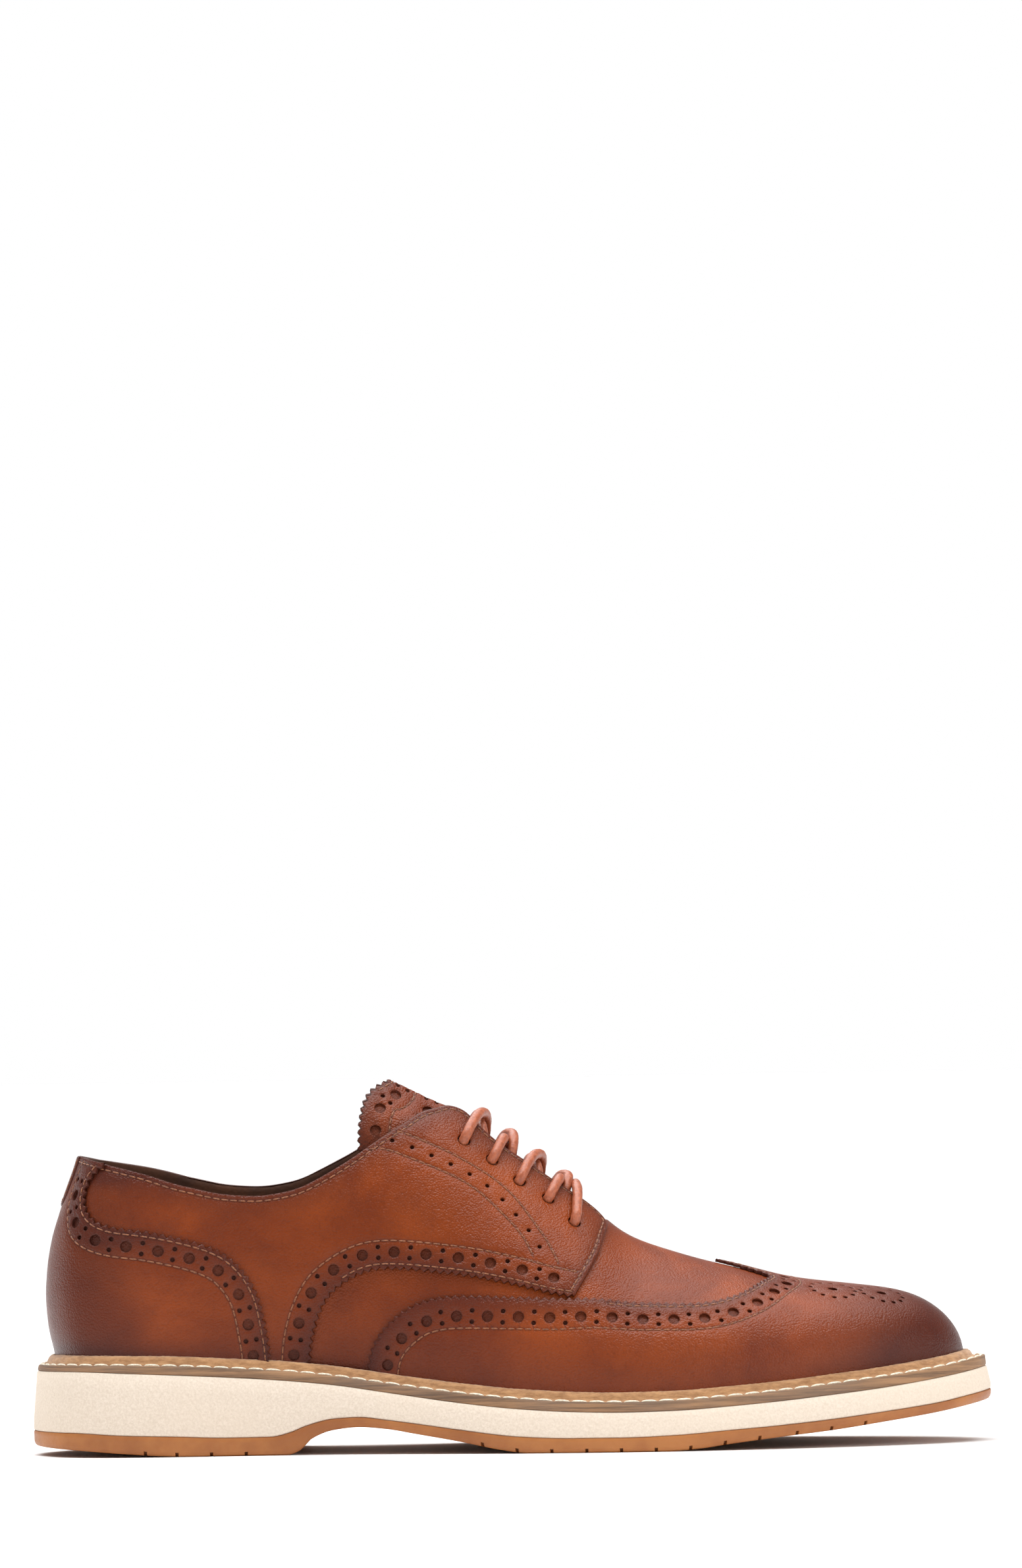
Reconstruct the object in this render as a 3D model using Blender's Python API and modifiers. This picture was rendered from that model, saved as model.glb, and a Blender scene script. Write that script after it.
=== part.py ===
"""Right-foot wingtip brogue derby, built piece by piece as a shoemaker would.

Frame: +X toe, -Y lateral side, +Y medial side, +Z up, ground at z = 0.
All driving dimensions are in millimetres and scaled to metres when a mesh is made.
"""
import math

import bmesh
import bpy
import numpy as np
from mathutils import Matrix, Vector

for _o in list(bpy.data.objects):
    bpy.data.objects.remove(_o, do_unlink=True)

MM = 0.001

# ---------------------------------------------------------------- driving dimensions (mm)
SOLE_LENGTH = 308.1          # edge to edge, US men's 9.5 - 10
Y_CENTRE = -1.43              # plan box centre of the outline below, taken to y = 0
FEATHER_INSET = 9.8          # sole edge to the outside of the vamp at the welt
BALL_X = 49.0                # flex line
FLEX_GAP = 0.30              # gap left in the sole layers at the flex line
GAP = 0.30                   # gap between pieces that rest on each other
HEEL_CENTRE_X = -105.0       # start of the rounded heel

VAMP_T = 1.25                # leather thicknesses
QUARTER_IN, QUARTER_T = 0.55, 1.40
WING_IN, WING_T = 1.00, 0.80
FOX_IN, FOX_T = 2.70, 1.00
TAB_IN, TAB_T = 4.00, 0.90
COUNTER_TOP, COUNTER_T = -0.25, 1.80
PUFF_TOP, PUFF_T = -1.65, 0.80
LINING_TOP, LINING_T = -2.90, 0.80
TONGUE_T, TONGUE_LINING_T = 1.60, 0.70

LACE_D = 3.2
LACE_HOLE_D = 4.8
AGLET_LEN, AGLET_D = 18.0, 3.0

# plan outline of the sole, heel centre -> lateral side -> toe -> medial side
OUTLINE = [(-154.2, 0), (-150.8, -16.5), (-142.5, -29.5), (-127, -37), (-110, -38.6),
           (-80, -37.4), (-50, -40), (-16, -48), (18, -54), (43, -55.2), (71, -51.6),
           (103, -42.5), (131, -29.5), (145.5, -17.5), (152.3, -5), (153.9, 6),
           (150.8, 17), (142, 28.5), (126, 38.2), (100, 46.8), (67, 52.2), (35, 50),
           (0, 41.8), (-40, 34.6), (-76, 35.6), (-110, 38.6), (-127, 37), (-142.5, 29.5),
           (-150.8, 16.5)]

# heights along the shoe (x, z)
Z_GROUND = [(-156, 3.2), (-140, 2.3), (-124, 1.1), (-112, 0.3), (-104, 0), (-72, 0), (-68, 1.4),
            (-64, 5.2), (-57, 7.8), (-49, 8.6), (-40, 7.9), (-32, 6.5), (-16, 3.6), (-4, 1.1),
            (5, 0), (48, 0), (58, 0.6), (68, 1.9), (84, 3.7), (101, 5.4), (118, 7.6), (136, 10.1),
            (145, 11.7), (156, 13.7)]
Z_OUTSOLE = [(-156, 7.9), (-141, 7.8), (-124, 6.9), (-107, 6.4), (-91, 5.8), (-77, 5.9), (-71, 7.2),
             (-66, 9.2), (-57, 11.4), (-49, 11.8), (-41, 10.9), (-32, 9.7), (-16, 7.4), (1, 5.3),
             (18, 4.6), (34, 4.6), (51, 5.1), (68, 6.3), (84, 7.4), (101, 8.9), (118, 10.8),
             (136, 13.1), (145, 14.8), (156, 16.8)]
Z_MIDSOLE = [(-156, 26.8), (-141, 27.2), (-124, 26.6), (-107, 25.8), (-91, 24.9), (-74, 23.7),
             (-57, 22.0), (-41, 19.6), (-16, 15.9), (1, 14.0), (18, 12.9), (34, 12.5), (51, 12.8),
             (68, 13.8), (84, 15.0), (101, 16.6), (118, 18.4), (136, 20.9), (145, 22.4), (156, 24.5)]
Z_BAND = [(-156, 28.5), (-141, 29.1), (-124, 29.0), (-107, 28.6), (-91, 27.7), (-74, 26.6),
          (-57, 24.8), (-41, 22.4), (-16, 18.9), (1, 17.1), (18, 16.0), (34, 15.6), (51, 15.9),
          (68, 16.9), (84, 18.2), (101, 19.9), (118, 21.8), (136, 24.2), (145, 25.8), (156, 27.9)]
FLANGE_T = 1.3               # storm welt flange, its top is Z_BAND

# back seam line of the vamp layer (z, x) and its ridge (x, z)
BACK = [(24, -143.6), (32, -144.4), (42, -146.4), (51, -147.0), (59, -146.5), (68, -145.0),
        (76, -142.6), (84, -139.8), (91, -137.2), (98, -135.0), (112, -131.5), (130, -129.0)]
RIDGE = [(144.1, 26.0), (143.8, 29.6), (141.5, 35.6), (135.5, 42.0), (129, 45.6), (122, 47.6),
         (112.6, 49.0), (100, 50.5), (87, 52.6), (74.3, 56.0), (61.5, 59.3), (48.8, 63.2),
         (42.4, 65.5), (36, 68.8), (30, 73.6), (22, 81.0), (15, 86.6), (6, 93.9), (-4.4, 101.6),
         (-17, 111.0), (-28, 116.2), (-39, 120.0), (-55, 124), (-75, 127), (-100, 128), (-116, 128)]
RIDGE_Y = [(-116, 0), (40, 0), (70, 0.8), (100, 2.4), (125, 4.2), (144.1, 6.0)]
# section shape along x: bulge ratio, height of the side's control, width of the shoulder's control
SEC = [(-116, 0.22, 0.45, 0.70), (-80, 0.22, 0.45, 0.68), (-50, 0.22, 0.45, 0.62),
       (-20, 0.20, 0.45, 0.50), (0, 0.19, 0.45, 0.40), (20, 0.18, 0.46, 0.38),
       (36, 0.18, 0.50, 0.42), (60, 0.18, 0.56, 0.52), (90, 0.20, 0.64, 0.60),
       (120, 0.22, 0.74, 0.66), (144.1, 0.22, 0.80, 0.66)]

# pattern lines on the side of the shoe (x, z)
TOPLINE = [(-136.4, 95.0), (-128.4, 92.6), (-116.6, 89.5), (-106.7, 86.1), (-94.6, 83.2),
           (-87.4, 82.3), (-77.8, 82.0), (-69.3, 83.2), (-60.9, 86.4), (-48.2, 92.8),
           (-35.5, 99.8), (-27.0, 105.0), (-20.6, 108.4), (-17.0, 108.9), (-10.2, 103.9),
           (-4.4, 98.6), (6.1, 91.8), (14.9, 85.2), (22.0, 79.9), (27.5, 75.8), (31.2, 71.5)]
QUARTER_LOW = [(-65.2, 0), (-64.3, 33.6), (-63.0, 40.0), (-61.3, 44.8), (-58.0, 50.4),
               (-53.2, 54.4), (-44.4, 58.2), (-38.6, 58.6), (-29.0, 57.9), (-13.0, 55.8),
               (2.9, 52.4), (10.9, 50.3), (19.7, 48.6), (24.0, 55.5), (28.3, 62.9), (31.2, 68.6)]
VAMP_HIGH = [(-76, 0), (-75, 36), (-72, 48), (-66, 56), (-58, 62), (-44, 66.5), (-29, 66.5),
             (-13, 64.5), (3, 61), (14, 58.5), (20, 58.5), (24, 63), (27, 69)]
VAMP_THROAT_X = 30.5
FOX_TOP = [(-131.9, 74.6), (-126.3, 72.3), (-118.3, 71.2), (-108.6, 69.4), (-99.0, 66.8),
           (-91.0, 63.1), (-84.7, 56.9), (-80.8, 49.6), (-78.9, 41.5), (-77.8, 35.0), (-77.2, 31.0)]
WING_EDGE = [(-47.5, 0), (-44.5, 32.9), (-41.3, 38.5), (-36.4, 43.2), (-30.7, 46.8), (-25.1, 48.5),
             (-16.3, 49.3), (-5.1, 48.9), (6.9, 48.3), (18.9, 47.8), (34.8, 46.5), (47.5, 45.6),
             (60.9, 45.5), (69.2, 46.9), (74.4, 48.6), (79.0, 50.8)]
WING_PEAK = [(81.6, 15.5), (82.8, 11.0), (82.0, 8.5), (77.0, 5.5), (71.0, 2.5), (65.6, 0.0)]  # (x, |y|)
FACING_Y = [(-17, 12.0), (-6, 11.2), (3, 10.2), (12, 9.2), (20, 8.2), (26, 7.2), (29, 7.8), (30.5, 9.4), (31.2, 12.2)]
FACING_TOP_X = -17.0
LACE_HOLES = [(19.9, 72.7), (11.6, 80.3), (2.6, 86.1), (-6.1, 93.0), (-14.9, 99.5)]


# ---------------------------------------------------------------- curves
def spline(pts, cyclic=False):
    """Natural or periodic cubic spline through points; returns f(u) and the knots."""
    p = np.array(pts, float)
    if cyclic:
        p = np.vstack([p, p[:1]])
        u = np.concatenate([[0], np.cumsum(np.linalg.norm(np.diff(p, axis=0), axis=1))])
        v = p
    else:
        u, v = p[:, 0], p[:, 1:]
    n = len(u)
    h = np.diff(u)
    a, b = np.zeros((n, n)), np.zeros((n, v.shape[1]))
    for i in range(1, n - 1):
        a[i, i - 1], a[i, i], a[i, i + 1] = h[i - 1], 2 * (h[i - 1] + h[i]), h[i]
        b[i] = 6 * ((v[i + 1] - v[i]) / h[i] - (v[i] - v[i - 1]) / h[i - 1])
    if cyclic:
        a[0, 0], a[0, -1] = 1, -1
        a[-1, 0], a[-1, 1], a[-1, -2], a[-1, -1] = 2 * h[0], h[0], h[-1], 2 * h[-1]
        b[-1] = 6 * ((v[1] - v[0]) / h[0] - (v[-1] - v[-2]) / h[-1])
    else:
        a[0, 0] = a[-1, -1] = 1
    m = np.linalg.solve(a, b)

    def f(q):
        q = np.clip(np.atleast_1d(np.asarray(q, float)), u[0], u[-1])
        i = np.clip(np.searchsorted(u, q, side="right") - 1, 0, n - 2)
        hh = h[i][:, None]
        s, t = (u[i + 1] - q)[:, None], (q - u[i])[:, None]
        return (m[i] * s**3 + m[i + 1] * t**3) / (6 * hh) + \
            (v[i] / hh - m[i] * hh / 6) * s + (v[i + 1] / hh - m[i + 1] * hh / 6) * t
    return f, u


def line(pts):
    p = np.array(pts, float)
    return lambda q: np.interp(q, p[:, 0], p[:, 1])


def smooth(pts):
    """Monotone (Fritsch-Carlson) cubic through (x, value) points."""
    p = np.array(pts, float)
    x, y = p[:, 0], p[:, 1]
    h, d = np.diff(x), np.diff(y) / np.diff(x)
    m = np.zeros(len(x))
    m[0], m[-1] = d[0], d[-1]
    for i in range(1, len(x) - 1):
        if d[i - 1] * d[i] > 0:
            w1, w2 = 2 * h[i] + h[i - 1], h[i] + 2 * h[i - 1]
            m[i] = (w1 + w2) / (w1 / d[i - 1] + w2 / d[i])

    def f(q):
        q = np.clip(np.asarray(q, float), x[0], x[-1])
        i = np.clip(np.searchsorted(x, q, side="right") - 1, 0, len(x) - 2)
        t = (q - x[i]) / h[i]
        return (y[i] * (1 + 2 * t) * (1 - t)**2 + h[i] * m[i] * t * (1 - t)**2
                + y[i + 1] * t * t * (3 - 2 * t) + h[i] * m[i + 1] * t * t * (t - 1))
    return f


z_ground, z_outsole, z_midsole, z_band = (smooth(t) for t in (Z_GROUND, Z_OUTSOLE, Z_MIDSOLE, Z_BAND))
back_x = smooth(BACK)
TIP_X = RIDGE[0][0]
_rz, _ = spline([(math.sqrt(TIP_X - x), z) for x, z in RIDGE])
ridge_z = lambda x: _rz(np.sqrt(np.clip(TIP_X - np.asarray(x, float), 0, None)))[:, 0]
_ry = smooth(RIDGE_Y)
ridge_y = lambda x: _ry(x)
sec_a, sec_b, sec_c = (smooth([(r[0], r[i]) for r in SEC]) for i in (1, 2, 3))
feather_z = lambda x: z_band(x) - FLANGE_T + GAP

_out, _u = spline(OUTLINE, cyclic=True)
_q = np.linspace(0, _u[-1], 1441)[:-1]
EDGE = _out(_q)
_t = np.roll(EDGE, -1, 0) - np.roll(EDGE, 1, 0)
_t /= np.linalg.norm(_t, axis=1)[:, None]
EDGE_N = np.stack([_t[:, 1], -_t[:, 0]], 1)          # points out of the loop (loop runs CCW)
if np.dot(EDGE[0] - EDGE.mean(0), EDGE_N[0]) < 0:
    EDGE_N = -EDGE_N


def edge_sides(offset):
    """The outline moved out by offset, as two runs from heel centre to toe tip: lateral, medial."""
    off = offset(EDGE[:, 0]) if callable(offset) else offset
    p = EDGE + EDGE_N * (np.asarray(off) * np.ones(len(EDGE)))[:, None]
    tip = int(np.argmax(EDGE[:, 0]))
    return p[:tip + 1], np.vstack([p[:1], p[:tip - 1:-1]])


def run(side_pts):
    d = np.concatenate([[0], np.cumsum(np.linalg.norm(np.diff(side_pts, axis=0), axis=1))])
    return d / d[-1]


FEATHER = [s.copy() for s in edge_sides(-FEATHER_INSET)]
for s in FEATHER:                                    # both runs end on the ridge's own tip
    s[:, 0] = np.minimum(s[:, 0], TIP_X)
FK = [run(s) for s in FEATHER]


def bez(p0, p1, p2, p3, t):
    return p0 * (1 - t)**3 + 3 * p1 * t * (1 - t)**2 + 3 * p2 * t * t * (1 - t) + p3 * t**3


def mean_half(x):
    a, b = (np.interp(x, f[:, 0], f[:, 1]) for f in FEATHER)
    return np.abs(a - b) / 2


def section(side, x, w, t):
    zf, zr, yr = feather_z(x), ridge_z(x), ridge_y(x)
    h, half = zr - zf, w - yr
    return (bez(w, w + half * sec_a(x), yr + np.sign(half) * mean_half(x) * sec_c(x), yr, t),
            bez(zf, zf + h * sec_b(x), zr, zr, t))


def base(side, k, t):
    """Point of the vamp layer's outer surface; side 0 lateral, 1 medial; k heel to toe, t feather to ridge."""
    k, t = np.broadcast_arrays(np.atleast_1d(np.asarray(k, float)), np.asarray(t, float))
    fx, fy = np.interp(k, FK[side], FEATHER[side][:, 0]), np.interp(k, FK[side], FEATHER[side][:, 1])
    y, z = section(side, np.maximum(fx, HEEL_CENTRE_X), fy, t)
    wa = np.interp(HEEL_CENTRE_X, FEATHER[side][:, 0], FEATHER[side][:, 1])
    ya, za = section(side, np.full_like(fx, HEEL_CENTRE_X), np.full_like(fx, wa), t)
    heel = fx < HEEL_CENTRE_X
    zh = za + (feather_z(fx) - feather_z(HEEL_CENTRE_X)) * (1 - t)
    c = (HEEL_CENTRE_X - fx) / (HEEL_CENTRE_X - FEATHER[side][0, 0])
    xb = HEEL_CENTRE_X - (HEEL_CENTRE_X - back_x(zh)) * c
    x = np.where(heel, xb, fx)
    return np.stack([x, np.where(heel, ya * fy / wa, y), np.where(heel, zh, z)], -1)


def normal(side, k, t):
    k, t = np.broadcast_arrays(np.atleast_1d(np.asarray(k, float)), np.asarray(t, float))
    e = 2e-3
    kc, tc = np.clip(k, 0, 0.992), t
    dk = base(side, np.minimum(kc + e, 1), tc) - base(side, np.maximum(kc - e, 0), tc)
    dt = base(side, kc, np.minimum(tc + e, 1)) - base(side, kc, np.maximum(tc - e, 0))
    n = np.cross(dk, dt) * (1 if side == 0 else -1)
    centre = k < 1e-6
    n[centre, 1] = 0
    ridge = t > 1 - 1e-6
    n[ridge, 1] = 0
    n[..., 2] *= np.clip(t / 0.06, 0, 1)             # level at the welt, where every layer ends on the band
    return n / np.linalg.norm(n, axis=-1)[..., None]


def surf(side, k, t, off=0.0):
    return base(side, k, t) + normal(side, k, t) * (np.asarray(off) * np.ones(np.broadcast(k, t).shape))[..., None]


def k_at_x(side, x):
    return float(np.interp(x, FEATHER[side][:, 0], FK[side]))


TS = np.linspace(0, 1, 201)


def kt(side, x, z=None, y=None):
    """Surface parameters of the point seen from the side at (x, z), or on top at (x, |y|)."""
    x = float(x)
    k = k_at_x(side, max(x, HEEL_CENTRE_X))
    for _ in range(4):
        p = base(side, k, TS)
        if y is None:
            t = float(np.interp(float(z), p[:, 2], TS))
        else:
            t = float(np.interp(-float(y), -np.abs(p[60:, 1] - ridge_y(x)), TS[60:]))
        if x >= HEEL_CENTRE_X:
            break
        c = (HEEL_CENTRE_X - x) / (HEEL_CENTRE_X - back_x(np.interp(t, TS, p[:, 2])))
        k = k_at_x(side, HEEL_CENTRE_X - min(float(c), 1.0) * (HEEL_CENTRE_X - FEATHER[side][0, 0]))
    return k, t


# ---------------------------------------------------------------- object helpers
shoe = bpy.data.collections.new("wingtip_derby")
tools = bpy.data.collections.new("cutters")
for c in (shoe, tools):
    bpy.context.scene.collection.children.link(c)


def material(name, rgb, rough, metal=0.0):
    m = bpy.data.materials.new(name)
    m.use_nodes = True
    b = m.node_tree.nodes["Principled BSDF"]
    b.inputs["Base Color"].default_value = (*rgb, 1)
    b.inputs["Roughness"].default_value = rough
    b.inputs["Metallic"].default_value = metal
    m.diffuse_color = (*rgb, 1)
    return m


COGNAC = material("cognac_calf", (0.26, 0.075, 0.030), 0.38)
BURNISH = material("burnished_calf", (0.15, 0.040, 0.020), 0.34)
LINING = material("lining_leather", (0.20, 0.12, 0.08), 0.70)
BOARD = material("board", (0.42, 0.30, 0.20), 0.85)
FOAM = material("footbed_foam", (0.12, 0.09, 0.07), 0.9)
CORK = material("cork", (0.45, 0.27, 0.14), 0.9)
GUM = material("gum_rubber", (0.48, 0.20, 0.06), 0.55)
EVA = material("cream_foam", (0.83, 0.73, 0.60), 0.65)
STACK = material("stacked_leather", (0.16, 0.09, 0.05), 0.6)
WELT = material("welt_leather", (0.38, 0.20, 0.10), 0.7)
STEEL = material("shank_steel", (0.55, 0.55, 0.56), 0.35, 1.0)
LACE = material("waxed_lace", (0.50, 0.16, 0.08), 0.6)
AGLET = material("aglet_film", (0.25, 0.07, 0.04), 0.3)

OFFSET = Vector((0, -Y_CENTRE * MM, 0))


def add(name, bm, mat, smooth_angle=40):
    me = bpy.data.meshes.new(name)
    bmesh.ops.translate(bm, verts=bm.verts, vec=OFFSET)
    bm.to_mesh(me)
    bm.free()
    me.materials.append(mat)
    me.shade_smooth()
    me.set_sharp_from_angle(angle=math.radians(smooth_angle))
    ob = bpy.data.objects.new(name, me)
    shoe.objects.link(ob)
    return ob


def grid(bm, pts, flip=False):
    """Quads over an array of points [i][j]; returns the vertices."""
    vs = [[bm.verts.new(Vector([float(c) for c in p]) * MM) for p in row] for row in pts]
    for i in range(len(vs) - 1):
        for j in range(len(vs[0]) - 1):
            q = [vs[i][j], vs[i + 1][j], vs[i + 1][j + 1], vs[i][j + 1]]
            bm.faces.new(q[::-1] if flip else q)
    return vs


def shell(name, sheets, thickness, mat, merge=0.05):
    """Open surface made of grids, thickened inwards with Solidify."""
    bm = bmesh.new()
    for pts, flip in sheets:
        grid(bm, pts, flip)
    bmesh.ops.remove_doubles(bm, verts=bm.verts, dist=merge * MM)
    bmesh.ops.dissolve_degenerate(bm, dist=0.02 * MM, edges=bm.edges)
    ob = add(name, bm, mat)
    so = ob.modifiers.new("leather", "SOLIDIFY")
    so.thickness = thickness * MM
    so.offset = -1
    so.use_even_offset = True
    so.use_quality_normals = True
    return ob


def resample(pts, fr):
    d = np.concatenate([[0], np.cumsum(np.linalg.norm(np.diff(pts, axis=0), axis=1))])
    return np.stack([np.interp(np.asarray(fr) * d[-1], d, pts[:, i]) for i in range(pts.shape[1])], 1)


def clip_run(pts, x0, x1):
    """The part of a heel-to-toe run between x0 and x1 (None: its own end)."""
    out = pts
    if x0 is not None:
        i = int(np.argmax(out[:, 0] > x0))
        a, b = out[i - 1], out[i]
        out = np.vstack([[a + (b - a) * (x0 - a[0]) / (b[0] - a[0])], out[i:]])
    if x1 is not None:
        i = int(np.argmax(out[:, 0] > x1))
        a, b = out[i - 1], out[i]
        out = np.vstack([out[:i], [a + (b - a) * (x1 - a[0]) / (b[0] - a[0])]])
    return out


def fractions(n, x0, x1, end=0.022):
    """Stations along a run: closer together at a rounded end."""
    u = np.linspace(0, 1, n)
    if x0 is None:
        u = end + (1 - end) * (0.45 * u + 0.55 * u * u)
    elif x1 is None:
        u = 1 - (end + (1 - end) * (0.45 * (1 - u) + 0.55 * (1 - u)**2))
    return u


def slab(name, bottom, top, mat, x0=None, x1=None, n=18):
    """Sole layer between two outlines; each is (offset from the edge, height function)."""
    bm = bmesh.new()
    fr = fractions(n, x0, x1)
    ring = []
    for off, zf in (bottom, top):
        for s in edge_sides(off):
            p = resample(clip_run(s, x0, x1), fr)
            ring.append([bm.verts.new(Vector((a, b, float(zf(a)))) * MM) for a, b in p])
    lb, mb, lt, mt = ring
    bm.faces.new([lb[0], mb[0], mt[0], lt[0]])
    bm.faces.new([mb[-1], lb[-1], lt[-1], mt[-1]])
    for i in range(n - 1):
        for a, b in ((lb, mb), (mb, mt), (mt, lt), (lt, lb)):
            bm.faces.new([a[i], a[i + 1], b[i + 1], b[i]])
    bmesh.ops.recalc_face_normals(bm, faces=bm.faces)
    return add(name, bm, mat)


def cut(ob, cutter):
    mod = ob.modifiers.new("cut", "BOOLEAN")
    mod.operation = "DIFFERENCE"
    mod.object = cutter
    mod.solver = "EXACT"


def tool(ob):
    for c in list(ob.users_collection):
        c.objects.unlink(ob)
    tools.objects.link(ob)
    ob.hide_render = True
    ob.display_type = "WIRE"
    return ob


# ---------------------------------------------------------------- sole unit
REAR = (None, BALL_X - FLEX_GAP / 2)
FORE = (BALL_X + FLEX_GAP / 2, None)
lift = lambda f, d: (lambda x: f(x) + d)
stack = smooth([(-154, 1.0), (-60, 1.0), (20, 0.62), (150, 0.62)])   # inner layers thin towards the toe


def inner(level):
    """Height of the inner layers: level in mm above the band for the full-thickness heel part."""
    return lambda x: z_band(x) - FLANGE_T + GAP + level * stack(x)


for part, (xa, xb) in (("rear", REAR), ("forefoot", FORE)):
    n = 22 if part == "rear" else 15
    slab("outsole_" + part, (-0.7, z_ground), (0.0, lift(z_outsole, -GAP / 2)), GUM, xa, xb, n + 6)
    slab("midsole_" + part, (0.0, lift(z_outsole, GAP / 2)), (-1.5, lift(z_midsole, -GAP / 2)), EVA, xa, xb, n + 6)
    slab("welt_band_" + part, (-1.5, lift(z_midsole, GAP / 2)), (-1.9, lift(z_band, -FLANGE_T)), STACK, xa, xb, n + 6)
    INSET = -(FEATHER_INSET + 4.6)
    slab("cork_filler_" + part, (INSET, inner(0)), (INSET, inner(1.7)), CORK, xa, xb, n - 5)
    slab("insole_board_" + part, (INSET, inner(2.2)), (INSET, inner(4.2)), BOARD, xa, xb, n - 5)
    slab("footbed_" + part, (INSET, inner(4.7)), (INSET, inner(8.6)), FOAM, xa, xb, n - 5)
    slab("sock_lining_" + part, (INSET, inner(9.1)), (INSET, inner(10.1)), LINING, xa, xb, n - 5)

# steel shank in a window of the cork, from heel seat to just behind the ball
SHANK_X, SHANK_W = (-104.0, 16.0), 13.0
for name, half, z0, z1, ext in (("shank_window", SHANK_W / 2 + 0.4, -2.0, 3.2, 0.6), ("shank", SHANK_W / 2, 0.1, 1.45, 0.0)):
    bm = bmesh.new()
    xs = np.linspace(SHANK_X[0] - ext, SHANK_X[1] + ext, 9)
    ring = [[bm.verts.new(Vector((x, y, float(inner(zz)(x)))) * MM) for x in xs]
            for y, zz in ((-half, z0), (half, z0), (half, z1), (-half, z1))]
    for i in range(len(xs) - 1):
        for a in range(4):
            bm.faces.new([ring[a][i], ring[a][i + 1], ring[(a + 1) % 4][i + 1], ring[(a + 1) % 4][i]])
    bm.faces.new([r[0] for r in ring])
    bm.faces.new([r[-1] for r in ring])
    bmesh.ops.recalc_face_normals(bm, faces=bm.faces)
    ob = add(name, bm, STEEL)
    if name == "shank_window":
        window = tool(ob)
cut(bpy.data.objects["cork_filler_rear"], window)

# storm welt: flange and upstanding bead, one strip laid round the upper
welt_in = smooth([(-154, -4.3), (-84, -4.3), (-66, -5.9), (60, -5.9), (150, -5.9)])
for part, (xa, xb) in (("rear", REAR), ("forefoot", FORE)):
    bm = bmesh.new()
    n = 30 if part == "rear" else 24
    fr = np.linspace(0, 1, n)
    prof = [(0.0, 0.0, 0), (1.0, 0.0, 0), (1.0, 1.0, 0), (0.0, 1.0, 1), (0.0, 3.6, 2), (0.0, 3.9, 3), (0.0, 3.6, 4)]
    lat, med = [], []
    loops = []
    for dx, dz in ((-2.3, 0.0), (-2.3, FLANGE_T - GAP), ("b", FLANGE_T - GAP), ("b", 3.6), ("m", 4.5), ("i", 4.0), ("i", 0.0)):
        if dx == "i":
            off = welt_in
        elif dx == "m":
            off = lambda x: welt_in(x) + 0.9
        elif dx == "b":
            off = lambda x: welt_in(x) + 1.9
        else:
            off = dx
        l, m = edge_sides(off)
        l, m = clip_run(l, xa, xb), clip_run(m, xa, xb)
        p = np.vstack([l[::-1], m[1:]]) if part == "rear" else np.vstack([l, m[-2::-1]])
        p = resample(p, fr)
        loops.append([bm.verts.new(Vector((a, b, float(z_band(a)) - FLANGE_T + GAP + dz)) * MM) for a, b in p])
    for i in range(n - 1):
        for a in range(len(loops)):
            b = (a + 1) % len(loops)
            bm.faces.new([loops[a][i], loops[a][i + 1], loops[b][i + 1], loops[b][i]])
    bm.faces.new([r[0] for r in loops])
    bm.faces.new([r[-1] for r in loops])
    bmesh.ops.recalc_face_normals(bm, faces=bm.faces)
    add("storm_welt_" + part, bm, WELT)

# ---------------------------------------------------------------- upper
top_z, low_z, vhigh_z, fox_z, facing_y = (line(p) for p in (TOPLINE, QUARTER_LOW, VAMP_HIGH, FOX_TOP, FACING_Y))
HEEL_K = [0.0, 0.02, 0.04, 0.06, 0.08, 0.10, 0.115]


def column(side, k, t0, t1, n, off):
    return surf(side, np.full(n + 1, k), np.linspace(t0, t1, n + 1), off)


def heel_t(side, k, z):
    return float(np.interp(float(z), base(side, k, TS)[:, 2], TS))


def heel_top(side, k, off=0.0):
    """t of the topline on a heel column."""
    t = 0.7
    for _ in range(6):
        x = float(base(side, k, t)[0][0])
        t = heel_t(side, k, float(top_z(x)) + off)
    return t


def strip(side, cols, off, n):
    """Grid over columns [(k, t0, t1)]."""
    return [column(side, k, t0, t1, n, off) for k, t0, t1 in cols], side == 1


def quarter_cols(side, xs, low, high, heel_ks, trim=0.0):
    cols = []
    for k in heel_ks:
        cols.append((k, 0.0, heel_top(side, k, trim)))
    for x in xs:
        zl = low(x)
        t0 = 0.0 if zl < feather_z(x) + 0.6 else kt(side, x, z=zl)[1]
        if high is top_z and x >= FACING_TOP_X:
            t1 = kt(side, x, y=float(facing_y(x)))[1]
        elif high is top_z:
            t1 = kt(side, x, z=high(x) - float(np.interp(x, [-50, -17], [0, 1.8])))[1]
        else:
            t1 = kt(side, x, z=high(x))[1]
        cols.append((k_at_x(side, x), t0, t1))
    return cols


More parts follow.
